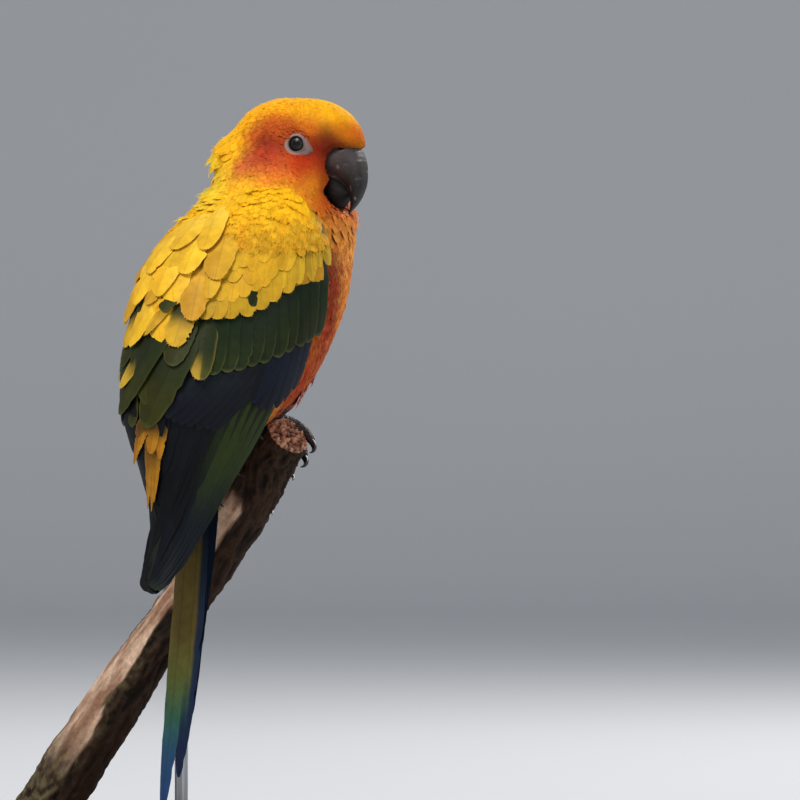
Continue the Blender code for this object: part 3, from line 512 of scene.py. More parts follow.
def add_feather(store, atlas, ends, normals, width, kind, shape, rng, roll=0.0, camber=0.12, splits=2):
    """One large feather through three points, with a few splits in its webs."""
    shares = 1 - (1 - np.linspace(0, 1, FINE_ROWS)) ** 1.25
    centre, across, out, _ = stations(ends[None], normals[None], shares)
    across, out = rolled(across, out, math.radians(roll))
    half = ragged(outline(shape, shares) * width / 2, shares, splits, 0.45, 0.018, rng)
    cells, cell = atlas.cell()
    tints = tint_of(kind, shares, np.asarray(COLUMNS, float), rng)[None]
    soft = kind in SOFT_KINDS
    add_vanes(store, centre, across, out, half[None], COLUMNS, tints, cells, cell,
              camber=camber if soft else camber * 0.6, thick=0.25, ridge=0.1 * width / 9)
    if soft:
        add_fringe(store, centre[0], across[0], out[0], half, tints[0], cells, cell, rng, width)


BARBS_PER_WIDTH = 11
# The fringe's patches on the bake map: their height in the feather's cell, and their size.
FRINGE_LEVEL = 0.972
FRINGE_PATCH = 0.0018


def add_fringe(store, centre, across, out, half, tints, cells, cell, rng, width):
    """Fine barbs that fray a soft feather's rounded end."""
    count = int(BARBS_PER_WIDTH * width)
    rows, columns = tints.shape[:2]
    place = np.clip((rng.beta(3.2, 1.0, count) * (rows - 1)).astype(int), 3, rows - 2)
    t = rng.uniform(-1, 1, count)
    edge = rng.random(count) < 0.65
    t[edge] = np.sign(t[edge]) * rng.uniform(0.8, 0.98, edge.sum())
    wide = np.where(t < 0, half[place, 0], half[place, 1])
    root = centre[place] + across[place] * (t * wide)[:, None]
    root = root + out[place] * (0.14 * half[place].mean(-1) * (1 - t**2) + 0.02)[:, None]
    ahead = unit(np.gradient(centre, axis=0))[place]
    up = out[place] * rng.uniform(0, 0.08, count)[:, None]
    way = unit(ahead + across[place] * (0.55 * t)[:, None] + up)
    column = np.clip(((t + 1) / 2 * columns).astype(int), 0, columns - 1)
    tint = np.clip(tints[place, column] * rng.uniform(0.9, 1.18, (count, 1)), 0.001, 1)
    level = np.full(count, FRINGE_LEVEL * cell[1])
    spots = cells + np.stack([rng.uniform(0.03, 0.94, count) * cell[0], level], -1)
    long = width * rng.uniform(0.03, 0.085, count) * (1.7 if width < 7 else 1)
    add_blades(store, root, way, out[place], long, np.full(count, 0.13), tint, spots, rng, FRINGE_PATCH)


def hump(x, z):
    """How far the mantle's loose feathers stand out over the wings' inner edges."""
    return MANTLE_HUMP * np.exp(-(((z - 219) / 10) ** 2)) * smooth(x, 5, -10)


def laid(root, tip, lift, table=WINGS):
    """Three points over a surface from root to tip, seen from the front, and their normals."""
    ends, normals = [], []
    for share in (0, 0.5, 1):
        x, z = (np.asarray(a + (b - a) * share) for a, b in zip(root, tip))
        point, out = surface_point(surface_angle(x, z, table), z, 0.0, table)
        rise = lift[0] + (lift[1] - lift[0]) * share + hump(x, z)
        ends.append(point + out * np.asarray(rise)[..., None])
        normals.append(out)
    return np.stack(ends, -2), np.stack(normals, -2)


def spaced(line, count):
    """Points evenly along a line of (x, height) points."""
    line = np.asarray(line, float)
    spots = np.linspace(0, len(line) - 1, count)
    return np.stack([np.interp(spots, np.arange(len(line)), line[:, k]) for k in (0, 1)], -1)


MANTLE_HUMP = 2.6
# The wing's tiers, as seen from the front: kind and shape, a line through the roots, a line
# through the tips, count, width, lift of root and tip over the wing's surface, roll, and how
# far the tips stray.
TIERS = (
    ("mid_primary", "wingtip", ((9, 170), (16, 170)), ((-16.6, 104), (-16.8, 101)), 2, 8.8,
     (-3.2, -0.7), 10, 0.12),
    ("primary", "wingtip", ((20, 170), (28, 171), (36, 173)),
     ((-16.6, 100.5), (-15.6, 99.2), (-13, 98.6)), 5, 8.8, (-3.1, -0.7), 10, 0.12),
    ("dark_primary", "wingtip", ((4, 168), (10, 170)), ((-14, 124), (-15.6, 108)), 3, 9.4,
     (-3.0, -0.7), 9, 0.2),
    ("secondary", "wingtip", ((-12, 180), (3, 171)), ((-15.5, 152), (-13.5, 128)), 5, 10.5,
     (-3.2, -1.2), 7, 0.3),
    ("band", "flight", ((36, 188), (22, 186), (6, 184)), ((8, 157), (-3, 158.5), (-12, 163)), 8, 9,
     (-2.7, -0.4), 8, 0.3),
    ("primary_covert", "covert", ((31, 189), (38, 191), (45, 196)), ((22, 166.5), (29, 164), (37, 172)),
     6, 7.4, (-2.5, -0.5), 8, 0.3),
    ("greater", "covert", ((6, 204), (28, 211), (48.5, 224)),
     ((3.5, 177), (18, 179.5), (34.6, 185), (46.5, 192)), 11, 10.2, (-2.3, -0.2), 5, 0.3),
    ("median", "covert", ((5, 217), (20, 219), (34, 228)), ((5.2, 197), (20, 198.5), (34, 207.5)),
     7, 8.6, (-1.9, 0.1), 5, 0.7),
    ("narrow", "covert", ((34, 229), (42, 232), (47.5, 235)), ((33, 209), (42, 213), (49.5, 219)),
     7, 5.4, (-1.7, 0.2), 8, 0.6),
    ("lesser", "round", ((8, 218), (22, 221), (36, 229)), ((6, 205.5), (21, 206.5), (33, 214)), 8, 7.2,
     (-1.5, 0.1), 3, 0.9),
    ("lesser", "round", ((9, 223), (25, 225), (38, 233)), ((7, 210.5), (22, 211.5), (34, 219)), 9, 6.8,
     (-1.4, 0.15), 3, 0.9),
    ("lesser", "round", ((11, 228), (26, 230), (38, 235), (44, 237)),
     ((9, 216), (24, 217), (36, 224), (44.5, 228)), 11, 6.2, (-1.3, 0.2), 2, 0.9),
    ("lesser", "round", ((12, 232), (26, 233), (37, 238), (41, 240)),
     ((10, 221.5), (25, 222.5), (36, 228.5), (42, 232)), 11, 5.8, (-1.3, 0.2), 2, 0.9),
)
# Single feathers over the wing's inner edge: kind, shape, root, tip, width, lift and roll.
SINGLES = (
    ("tipped", "covert", (-17, 192), (-27, 173), 8.5, (-2.4, 0.2), 6),
    ("tertial", "broad", (0, 199), (-17.8, 158.5), 15.5, (-2.6, 0.2), 7),
    ("tertial", "broad", (-8, 202), (-29.2, 163.5), 14.5, (-2.2, 0.7), 6),
    ("half_yellow", "covert", (6, 200), (2.6, 175.6), 9.5, (-2.3, 0.9), 7),
    ("tertial", "broad", (-1, 203), (-7.4, 180.5), 11.5, (-2.0, 1.2), 6),
    ("dark_centre", "covert", (-1.5, 206), (-6.3, 187.5), 10.5, (-1.6, 1.7), 4),
    ("dark_centre", "pointed", (-5, 212), (-16.4, 192), 8.5, (-1.8, 1.6), 3),
    ("mantle", "broad", (-11, 214), (-22.6, 188), 11.5, (-1.6, 1.2), 2),
    ("scapular", "round", (-6, 217), (-16, 203), 9, (-1.5, 1.9), 2),
    ("scapular", "broad", (4, 220), (0, 197), 11.5, (-1.2, 2.0), 3),
    ("lesser", "round", (7, 222), (6, 205), 9.5, (-1.2, 1.6), 3),
    ("scapular", "broad", (13, 236), (8.5, 211.5), 12, (-2.4, 2.2), 3),
    ("tertial", "covert", (-5, 213), (-10, 200.5), 8.5, (-1.6, 1.5), 3),
    ("greater", "pointed", (26.2, 216.5), (21.4, 202.6), 12, (-1.8, 0.1), 2),
    ("mantle", "round", (-3, 226), (-12, 205.5), 13, (-1.4, 1.9), 2),
    ("mantle", "round", (-9, 224), (-20.5, 203), 13, (-1.5, 1.6), 1),
    ("mantle", "round", (4, 233), (-2, 213), 12.5, (-1.2, 2.4), 2),
    ("mantle", "round", (-4, 231), (-14, 213), 13, (-1.3, 2.2), 1),
    ("mantle", "round", (9, 240), (5, 222), 11, (-1.0, 2.6), 2),
    ("mantle", "round", (2, 237), (-5, 221), 12, (-1.0, 2.5), 1),
)
# The black tips that cross under the right wing's own: root, tip and width, and their facing.
CROSSED_TIPS = (((-13.4, 127), (-17.2, 98.6), 8.2), ((-11.5, 127), (-14.6, 97.6), 8.4))
CROSSED_FACING = unit(np.array((-0.4, -0.9, 0.1)))
# Frayed feathers of the rump, which hang between the wings.
RUMP = (
    ("rump", "pointed", (-14.6, 163), (-17.5, 128.5), 5, (-1.5, 1.0), 0),
    ("rump", "pointed", (-18.6, 163), (-21.4, 145.2), 4.8, (-1.5, 0.8), 0),
    ("rump", "pointed", (-12.8, 162), (-14.0, 131), 4.2, (-1.6, 0.9), 0),
    ("rump", "pointed", (-17.6, 162), (-19.6, 150), 4.4, (-1.7, 0.6), 0),
    ("rump", "pointed", (-15.4, 162), (-14.8, 127.5), 3.6, (-1.6, 0.9), 0),
    ("rump", "pointed", (-11.4, 161), (-12.0, 147), 4.8, (-1.8, 0.7), 0),
    ("rump", "covert", (-14, 162), (-15.2, 149), 4.8, (-1.5, 0.8), 0),
)
# The small feathers on the bend of the wing: the heights that they cover, and their spacing.
SHOULDER_HEIGHTS = (253.0, 229.0)
SHOULDER_STEP = 1.8
# The plate under each wing's feathers: height, x of its inner edge and of its leading edge.
WING_BED = np.array((
    (250, 24, 30), (245, 17, 36), (240, 10, 40.5), (234, 5, 44.5), (226, 0, 47.5), (208, -12, 48.5),
    (190, -18, 43.5), (172, -17, 32), (158, -13, 22), (144, -12.5, 11), (131, -13, 0),
), float)

def bed_edge(z, k):
    """x of the plate's inner edge (1) or leading edge (2) at heights z."""
    return np.interp(-z, -WING_BED[:, 0], WING_BED[:, k])


def add_bed(store):
    """The closed plate that a wing's feathers grow from."""
    rows, columns = 44, 24
    z = np.linspace(WING_BED[0, 0], WING_BED[-1, 0], rows)
    inner, lead = (surface_angle(bed_edge(z, k), z) for k in (1, 2))
    turns = lead[:, None] + (inner - lead)[:, None] * np.linspace(0, 1, columns)
    heights = np.broadcast_to(z[:, None], turns.shape)
    inset = 2.4 + 1.9 * smooth(heights, 196, 178) - hump(bed_edge(z, 1)[:, None], heights)
    top, normal = surface_point(turns, heights, inset)
    under, _ = surface_point(turns, heights, inset + 0.9)
    tints = mix(srgb((22, 25, 28)), srgb((196, 140, 30)), smooth(heights, 198, 214)[..., None])
    points, normals, tints = (
        both_faces(a[None], b[None]) for a, b in ((top, under), (normal, normal), (tints, tints))
    )
    faces, signs = grid_faces(rows, columns)
    seen = mirrored(points[0]) if store.side < 0 else points[0]
    # The bed's patch lies in the last corner of the map.
    flat = bake_place(seen)[faces.reshape(-1)] * 0.08 + 0.915
    store.add(points, normals, tints, np.zeros((1, points.shape[1], 2)), faces, signs, flat)


def add_shoulder(store, rng):
    """Small soft feathers over the bend of a wing, thinner and shorter toward its top."""
    roots = []
    for row, z in enumerate(np.arange(*SHOULDER_HEIGHTS, -SHOULDER_STEP)):
        first, last = bed_edge(z, 1) - 1, bed_edge(z, 2) + 2.2
        steps = np.arange(first, last, SHOULDER_STEP * 1.1) + row % 2 * SHOULDER_STEP / 2
        roots.append(np.stack([steps, np.full(len(steps), z)], -1))
    roots = np.concatenate(roots)
    count = len(roots)
    roots = roots + rng.normal(0, 0.6, roots.shape)
    lengths = mix(7.2, 5.2, smooth(roots[:, 1], 230, 252)) * rng.uniform(0.88, 1.12, count)
    # Beside the leading edge they droop outward, and elsewhere toward the back.
    aside = mix(-0.24, 0.16, smooth(bed_edge(roots[:, 1], 2) - roots[:, 0], 7, 1))
    way = np.stack([aside, np.full(count, -0.92)], -1)
    tips = roots + lengths[:, None] * way + rng.normal(0, 0.4, roots.shape)
    lift = (-1.4 + rng.normal(0, 0.1, count), 0.14 + rng.normal(0, 0.08, count))
    ends, normals = laid(roots.T, tips.T, lift)
    tint = mix(srgb((214, 160, 34)), srgb((250, 190, 24)), smooth(roots[:, 1], 229, 245)[:, None])
    streak = smooth(rng.random(count), 0.78, 1)[:, None]
    tint = mix(tint, srgb((228, 146, 20)), streak * 0.5)
    tint = tint * (1 + 0.04 * rng.standard_normal((count, 1)))
    cells = (roots - roots.min(0)) / np.ptp(roots, axis=0) * (0.88, 0.28) + (0.02, 0.6)
    add_small_feathers(store, ends, normals, lengths, tint, cells, rng, 7, COAT_COLUMNS)


def wing(name, side, looks, seed):
    """One folded wing: its tiers of feathers over the plate that they grow from. The left one,
    which the photograph hides, has plainer tips and lies closer."""
    rng = np.random.default_rng(seed)
    store, atlas = Store(side), Atlas(14)
    add_bed(store)
    for kind, shape, roots, tips, count, width, lift, roll, stray in TIERS:
        if side < 0 and kind in ("primary", "mid_primary", "dark_primary"):
            kind = "dark_primary"
            tips = [(x, z + 3.5) for x, z in tips]
        for root, tip in zip(spaced(roots, count), spaced(tips, count)):
            shift = rng.normal(0, stray, 2)
            rise = rng.normal(0, 0.12 * stray)
            ends, normals = laid(root + shift * 0.5, tip + shift, (lift[0], lift[1] + rise))
            add_feather(store, atlas, ends, normals, width * rng.uniform(0.94, 1.1), kind, shape,
                        rng, roll + rng.normal(0, 3 * stray))
    for kind, shape, root, tip, width, lift, roll in SINGLES:
        if side < 0 and kind == "tipped":
            continue
        if side < 0:
            lift = (lift[0] - 0.8, lift[1] - 1.2)
        ends, normals = laid(root, tip, lift)
        roll = roll + rng.normal(0, 2)
        add_feather(store, atlas, ends, normals, width, kind, shape, rng, roll, camber=0.18)
    add_shoulder(store, rng)
    for root, tip, width in CROSSED_TIPS if side > 0 else ():
        ends, normals = laid(root, tip, (-3.0, -1.7))
        normals[:] = CROSSED_FACING
        add_feather(store, atlas, ends, normals, width, "dark_primary", "wingtip", rng)
    made = store.build(name, looks)
    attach(made, "root")
    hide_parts(name.replace("feathers_", ""))


def rump(looks):
    """The long frayed feathers of the rump."""
    rng = np.random.default_rng(17)
    store, atlas = Store(), Atlas(4)
    for kind, shape, root, tip, width, lift, roll in RUMP:
        ends, normals = laid(root, tip, lift)
        add_feather(store, atlas, ends, normals, width, kind, shape, rng, roll, splits=9)
    made = store.build("coat_rump_long", looks)
    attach(made, "root")


# The skin that stands in for the flesh nodes

FLESH = ("torso", "neck", "head", "leg_right", "leg_left")
SWELL = 0.3
SKIN_VOXEL = 0.9
COAT_DEPTH = 1.8
FACE_DEPTH = 0.75
BILL_BASE = np.array((24.0, 0.0, -4.0))
EYE = np.array((10.0, 12.0, 3.4))
EYE_RADIUS = 3.9
# The bare patch round the eye as the camera sees it: degrees from straight ahead, and radius.
PATCH = np.array((
    (-60, 4.9), (-42, 6.2), (-24, 7.1), (-13, 6.2), (0, 5.0), (31, 3.9), (60, 3.7), (90, 3.6),
    (119, 3.4), (151, 3.4), (180, 3.9), (195, 4.0), (231, 4.2), (275, 4.2), (300, 4.9),
))


def patch_share(spots):
    """Where points of the head's frame lie in the bare patch round an eye: 1 on its rim."""
    ahead = 0.906 * (spots[:, 0] - EYE[0]) - 0.4226 * (np.abs(spots[:, 1]) - EYE[1]) + 1.3
    above = spots[:, 2] - EYE[2] - 0.2
    turn = np.degrees(np.arctan2(above, ahead))
    turn = np.where(turn < -60, turn + 360, turn)
    reach = np.interp(turn, PATCH[:, 0], PATCH[:, 1])
    return np.hypot(ahead, above) / reach


def coat_depth(points):
    """How deep the skin lies under the plumage: least round the bill and the eyes."""
    spots = in_head(points)
    from_bill = np.linalg.norm((spots - BILL_BASE) * (1, 0.7, 0.7), axis=1)
    face = smooth(from_bill, 26, 12) * (points[:, 2] > 232)
    near_eye = smooth(patch_share(spots), 2.2, 1.1) * (spots[:, 2] > -8)
    return mix(COAT_DEPTH, FACE_DEPTH, np.maximum(face, near_eye))


def read(items, key, width, kind=np.float32):
    """A property of many mesh parts, as an array of rows or of single values."""
    found = np.empty(len(items) * width, kind)
    items.foreach_get(key, found)
    return found.reshape(-1, width) if width > 1 else found


def positions(mesh):
    return read(mesh.vertices, "co", 3).astype(float)


def corner_normals(mesh):
    return read(mesh.vertices, "normal", 3).astype(float)


def surface_tree(mesh):
    return BVHTree.FromPolygons([v.co for v in mesh.vertices], [tuple(p.vertices) for p in mesh.polygons])


def applied(obj, *steps):
    """Applies modifiers, given as (kind, {settings}) pairs."""
    for kind, settings in steps:
        step = obj.modifiers.new(kind.lower(), kind)
        for key, value in settings.items():
            setattr(step, key, value)
    graph = bpy.context.evaluated_depsgraph_get()
    made = bpy.data.meshes.new_from_object(obj.evaluated_get(graph))
    obj.modifiers.clear()
    old = obj.data
    obj.data = made
    bpy.data.meshes.remove(old)
    return obj


def skin():
    """The torso, neck, head and thighs as one surface, inset by the depth of the coat."""
    whole = bmesh.new()
    for name in FLESH:
        part = bmesh.new()
        part.from_mesh(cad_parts[name].data)
        bmesh.ops.remove_doubles(part, verts=part.verts, dist=1e-6)
        part.normal_update()
        shifts = [vert.normal * SWELL * MM for vert in part.verts]
        for vert, shift in zip(part.verts, shifts):
            vert.co += shift
        data = bpy.data.meshes.new("part")
        part.to_mesh(data)
        part.free()
        whole.from_mesh(data)
        bpy.data.meshes.remove(data)
    data = bpy.data.meshes.new("skin")
    whole.to_mesh(data)
    whole.free()
    made = new_object("skin", data)
    voxel = {"mode": "VOXEL", "voxel_size": SKIN_VOXEL * MM}
    applied(made, ("REMESH", voxel), ("SMOOTH", {"factor": 0.5, "iterations": 6}))
    points = positions(made.data) / MM
    inset = points - corner_normals(made.data) * (coat_depth(points) + SWELL)[:, None]
    made.data.vertices.foreach_set("co", (inset * MM).astype(np.float32).ravel())
    applied(made, ("REMESH", voxel), ("SMOOTH", {"factor": 0.5, "iterations": 4}))
    made.data.shade_smooth()
    return made


# Tints of the plumage: place in the head's frame (ahead, aside, up), reach, colour.
HEAD_TINTS = (
    ((15, 5, 19), 8, (255, 184, 18)), ((3, 9, 18), 8, (255, 178, 18)),
    ((25, 2, 13), 6.4, (255, 184, 20)), ((29, 3, 8), 3.4, (228, 92, 26)),
    ((26, 7, 8), 3.6, (222, 112, 14)), ((6, 14.5, 11), 4.4, (200, 56, 16)),
    ((15, 13, 10), 4, (214, 98, 14)), ((9, 14, 8.4), 3.8, (150, 32, 12)),
    ((0, 17.5, 5), 5.4, (140, 17, 12)), ((-6, 16, 6), 4.5, (192, 60, 32)),
    ((1, 14, 12), 3.6, (196, 48, 20)),
    # The first tint here, a near-black red beside the bill's base, is painted shadow.
    ((23.5, 10, 3.5), 5.2, (96, 18, 8)), ((18, 12, 3), 4.4, (140, 22, 12)),
    ((14, 15, -2), 3.4, (190, 44, 18)), ((1, 22, -3), 5.5, (176, 42, 30)),
    ((-5, 23, -6), 4.4, (202, 78, 52)), ((13, 17.5, -6), 4.6, (206, 64, 20)),
    ((21, 12, -5), 4, (198, 66, 24)), ((5, 22, -8), 5, (250, 128, 46)),
    ((17, 15, -12), 4.5, (246, 150, 32)), ((20, 9, -16), 4.5, (226, 100, 26)),
    ((21, 4, -21), 5, (198, 72, 28)), ((24, 0, -27), 6, (246, 152, 58)),
    # The last tint here, a near-black red beside the bill's base, is painted shadow.
    ((5, 20.5, -4.6), 3, (186, 46, 28)), ((22.3, 11, 4.6), 3, (88, 10, 6)),
    ((-14, 15, 1), 6.5, (255, 184, 22)), ((-14, 9, 11), 7, (255, 182, 16)),
    ((-21, 8, -6), 8, (255, 204, 38)), ((-3, 27, -13), 6, (255, 190, 30)),
    ((9, 23, -15), 5, (254, 172, 34)), ((-18, 16, -14), 8, (255, 208, 44)),
)
# The same in the body's frame.
# Down the breast, at its side under the wing's edge, and down the back the tints grow darker: partly the
# plumage's own colour, partly painted shade as the light falls off downward.
BODY_TINTS = (
    ((-18, 8, 226), 12, (250, 204, 54)), ((-26, 0, 200), 14, (236, 186, 44)),
    ((-24, 0, 172), 9, (196, 136, 30)), ((-22, 0, 152), 9, (170, 108, 22)),
    ((46, 0, 228), 8, (250, 160, 68)), ((40, 20, 230), 7, (242, 156, 62)),
    ((34, 27, 221), 5.5, (124, 34, 14)), ((44, 12, 206), 8, (228, 138, 52)),
    ((32, 28, 205), 5.5, (130, 36, 14)), ((50, 0, 206), 9, (236, 130, 36)),
    ((31, 27, 192), 7, (160, 60, 20)), ((42, 8, 188), 8, (182, 80, 26)),
    ((31, 20, 178), 7, (178, 70, 22)), ((28, 12, 167), 6, (150, 62, 22)),
    ((12, 0, 160), 9, (200, 118, 32)), ((2, 0, 140), 9, (170, 130, 48)),
    ((20, 28, 200), 8, (190, 108, 30)), ((-6, 26, 200), 9, (220, 168, 40)),
    ((10, 30, 222), 9, (240, 186, 40)), ((24, 24, 236), 7, (242, 166, 40)),
)


def blended(spots, table):
    """The tints of a table, blended by how near each of its places lies."""
    spots = spots.copy()
    spots[:, 1] = np.abs(spots[:, 1])
    total, weights = 0, 1e-12
    for place, reach, color in table:
        away = np.linalg.norm(spots - np.array(place), axis=1) / reach
        weight = np.exp(-1.2 * away**1.5)[:, None]
        total, weights = total + weight * srgb(color), weights + weight
    return total / weights


def coat_color(points):
    on_head = smooth(points[:, 2], 229, 243)[:, None]
    return mix(blended(in_body(points), BODY_TINTS), blended(in_head(points), HEAD_TINTS), on_head)


def bake_place(points):
    """Where points fall on the unwrap of the skin: turned round its own middle, by height."""
    spots = in_body(points)
    centre, _, _ = section(TORSO, points[:, 2])
    low = np.arctan2(spots[:, 1], spots[:, 0] - centre)
    around = points - HEAD_CENTRE
    turn = np.arctan2(around @ BODY_RIGHT, around @ BODY_FORWARD)
    on_head = smooth(points[:, 2], 232, 244)
    blend = np.arctan2(mix(np.sin(low), np.sin(turn), on_head),
                       mix(np.cos(low), np.cos(turn), on_head))
    polar = np.arccos(np.clip(around[:, 2] / np.linalg.norm(around, axis=1), -1, 1)) / math.pi
    height = mix((points[:, 2] - 90) / 150 * 0.6, 1 - polar * 0.5, on_head)
    place = np.stack([blend / (2 * math.pi) + 0.5, height], -1)
    return np.clip(place, 0.002, 0.995)


# Plumage

FACE_LENGTH = (1.5, 7.0)
# Feathers stand this share of their length apart, from so many spots tried.
COAT_GAP = 0.297
COAT_TRIES = 115000
# How far over a feather a wing still hides it.
COVER_REACH = 14


def flow(points):
    """The way the plumage lies, before it is laid along the skin."""
    spots = in_head(points)
    from_bill = spots - BILL_BASE
    reach = np.linalg.norm(from_bill, axis=1)
    spread = unit(from_bill) @ np.array((HEAD_FORWARD, HEAD_RIGHT, UP))
    back = smooth(reach, 8, 30)[:, None]
    on_head = unit(spread * (1.2 - 0.75 * back) - HEAD_FORWARD * back - UP * (0.12 + 0.4 * back))
    on_body = unit(-UP - BODY_FORWARD * 0.3)
    return unit(mix(on_body, on_head, smooth(points[:, 2], 226, 246)[:, None]))


def feather_length(points):
    """Least round the bill and the eyes, and longer toward the nape and down the body."""
    spots = in_head(points)
    reach = np.linalg.norm((spots - BILL_BASE) * (1, 0.8, 0.8), axis=1)
    on_head = FACE_LENGTH[0] + (FACE_LENGTH[1] - FACE_LENGTH[0]) * smooth(reach, 8, 50)
    aside = in_body(points)
    behind = smooth(aside[:, 0] - section(TORSO, points[:, 2])[0], 6, -12)
    on_body = mix(6.6, 11.5, behind)
    on_body = mix(on_body, 5.4, smooth(points[:, 2], 172, 160) * (1 - behind))
    return mix(on_body, on_head, smooth(points[:, 2], 226, 240))


def scatter(obj, count, rng):
    """Spots on a surface that keep their feathers' gap, and the surface's normals there."""
    gap = lambda places: feather_length(places) * COAT_GAP
    mesh = obj.data
    points, normals = positions(mesh) / MM, corner_normals(mesh)
    mesh.calc_loop_triangles()
    corners = read(mesh.loop_triangles, "vertices", 3, np.int32)
    a, b, c = (points[corners[:, k]] for k in range(3))
    area = np.linalg.norm(np.cross(b - a, c - a), axis=1)
    chance = area / gap(a) ** 2
    picks = rng.choice(len(area), count, p=chance / chance.sum())
    r, s = np.sqrt(rng.random(count)), rng.random(count)
    shares = np.stack([1 - r, r * (1 - s), r * s], -1)[..., None]
    spots = (points[corners[picks]] * shares).sum(1)
    facing = unit((normals[corners[picks]] * shares).sum(1))
    room = gap(spots)
    tree = KDTree(count)
    for i, spot in enumerate(spots):
        tree.insert(spot, i)
    tree.balance()
    alive = np.ones(count, bool)
    for i in range(count):
        if alive[i]:
            near = [j for _, j, _ in tree.find_range(spots[i], room[i]) if j > i]
            alive[near] = False
    return spots[alive], facing[alive]


def nearest(tree, points):
    found = [tree.find_nearest(Vector(p * MM))[:2] for p in points]
    return np.array([f[0] for f in found]) / MM, np.array([f[1] for f in found])


def laid_on_skin(tree, spots, facing, lengths, lifts):
    """Three points and normals for feathers that lie along the skin from their roots."""
    way = flow(spots)
    way = unit(way - facing * (way * facing).sum(1)[:, None])
    middle, out_middle = nearest(tree, spots + way * lengths[:, None] * 0.5)
    way = unit(mix(way, flow(middle), 0.5))
    way = unit(way - out_middle * (way * out_middle).sum(1)[:, None])
    tip, out_tip = nearest(tree, middle + way * lengths[:, None] * 0.5)
    ends = np.stack([
        spots + facing * lifts[0][:, None], middle + out_middle * lifts[1][:, None],
        tip + out_tip * lifts[2][:, None],
    ], 1)
    return ends, np.stack([facing, out_middle, out_tip], 1)


BARBS = 7
SMALL_COLUMNS = (-1, 0, 1)
COAT_COLUMNS = (-1, -0.5, 0, 0.5, 1)
# The size of a small feather's patch on the bake map.
SMALL_PATCH = 0.003
# A barb's seven points are three round its root, three round its middle, and its tip. Its first
# seven faces look outward, and the rest toward the skin.
BLADE_FACES = np.array(((0, 1, 2), (0, 4, 1), (0, 3, 4), (2, 3, 0), (2, 5, 3), (3, 6, 4), (5, 6, 3),
                        (1, 5, 2), (1, 4, 5), (4, 6, 5)))
BLADE_FLAT = np.array(((0, 0), (1, 0), (0.5, 0), (0.2, 0.5), (0.8, 0.5), (0.5, 0.5), (0.5, 1)))
BLADE_SHADES = np.array((0.8, 0.8, 0.8, 1, 1, 1, 1.1))
# Half a small feather's width, as a share of its length.
SMALL_WIDTH = 0.375


def add_blades(store, root, ahead, out, length, width, tint, cells, rng, patch=SMALL_PATCH):
    """Adds fine barbs: closed three sided spikes that bend toward the surface at their tips."""
    n = len(root)
    side = unit(np.cross(ahead, out))
    lean = side * rng.normal(0, 0.22, n)[:, None]
    middle = root + (ahead + lean * 0.5) * (length * 0.5)[:, None] + out * (0.05 * length)[:, None]
    tip = root + (ahead + lean) * length[:, None] - out * (0.075 * length)[:, None]
    corners = []
    for place, size in ((root, 1.0), (middle, 0.7)):
        for turn in (90, 210, 330):
            a = math.radians(turn)
            reach = (side * math.cos(a) + out * (math.sin(a) * 0.6)) * (width * size / 2)[:, None]
            corners.append(place + reach)
    tints = np.clip(tint[:, None] * BLADE_SHADES[None, :, None], 0.001, 1)
    bake = cells[:, None] + BLADE_FLAT[BLADE_FACES.reshape(-1)] * patch
    store.add(np.stack([*corners, tip], 1), np.repeat(out[:, None], 7, 1), tints,
              np.zeros((n, 7, 2)), BLADE_FACES, np.array((1.0,) * 7 + (-1.0,) * 3), bake)


def add_small_feathers(store, ends, normals, lengths, tint, cells, rng, rows, columns):
    """Small soft feathers: each a short vane, with barbs that fray its end."""
    shares = 1 - (1 - np.linspace(0, 1, rows)) ** 1.3
    centre, side, out, ahead = stations(ends, normals, shares)
    half = outline("round", shares)[None] * (lengths * SMALL_WIDTH)[:, None, None]
    half = half * (1 + 0.08 * rng.standard_normal(half.shape))
    t = np.array(columns, float)
    shade = mix(0.86, 1.05, smooth(shares, 0.1, 0.9))[None, :, None, None]
    shade = shade * (1 - 0.12 * np.exp(-((t / 0.2) ** 2)))[None, None, :, None]
    grid = np.clip(tint[:, None, None] * shade, 0.001, 1)
    soft = mix(normals[:, 1], normals[:, 0], 0.5)
    thick = np.clip(lengths * 0.03, 0.08, 0.22)[:, None, None]
    add_vanes(store, centre, side, out, half, columns, grid, cells, (SMALL_PATCH, SMALL_PATCH),
              camber=0.16, thick=thick, soft=soft)
    k = np.repeat(np.arange(len(ends)), BARBS)
    m = len(k)
    share = rng.uniform(0.5, 1.0, m)
    aside = rng.uniform(-0.85, 0.85, m)
    spot = np.clip((share * (rows - 1)).astype(int), 0, rows - 2)
    local = half[k, spot].mean(-1) * np.sqrt(1 - aside**2 * 0.3)
    root = centre[k, spot] + side[k, spot] * (aside * local)[:, None]
    root = root + out[k, spot] * (0.036 * lengths[k])[:, None]
    way = unit(ahead[k, spot] + side[k, spot] * (aside * 0.5)[:, None]
               + out[k, spot] * rng.uniform(0, 0.14, m)[:, None])
    long = lengths[k] * rng.uniform(0.3, 0.5, m)
    tone = np.clip(tint[k] * rng.uniform(0.85, 1.2, (m, 1)), 0.001, 1)
    wide = np.clip(lengths[k] * 0.055, 0.14, 0.34)
    add_blades(store, root, way, soft[k], long, wide, tone, cells[k], rng)


def hidden(points, normals, trees, reach):
    """Which points lie under the wings' feathers."""
    found = []
    for point, normal in zip(points, normals):
        start, way = Vector(point * MM), Vector(normal)
        found.append(any(tree.ray_cast(start, way, reach * MM)[0] for tree in trees))
    return np.array(found)


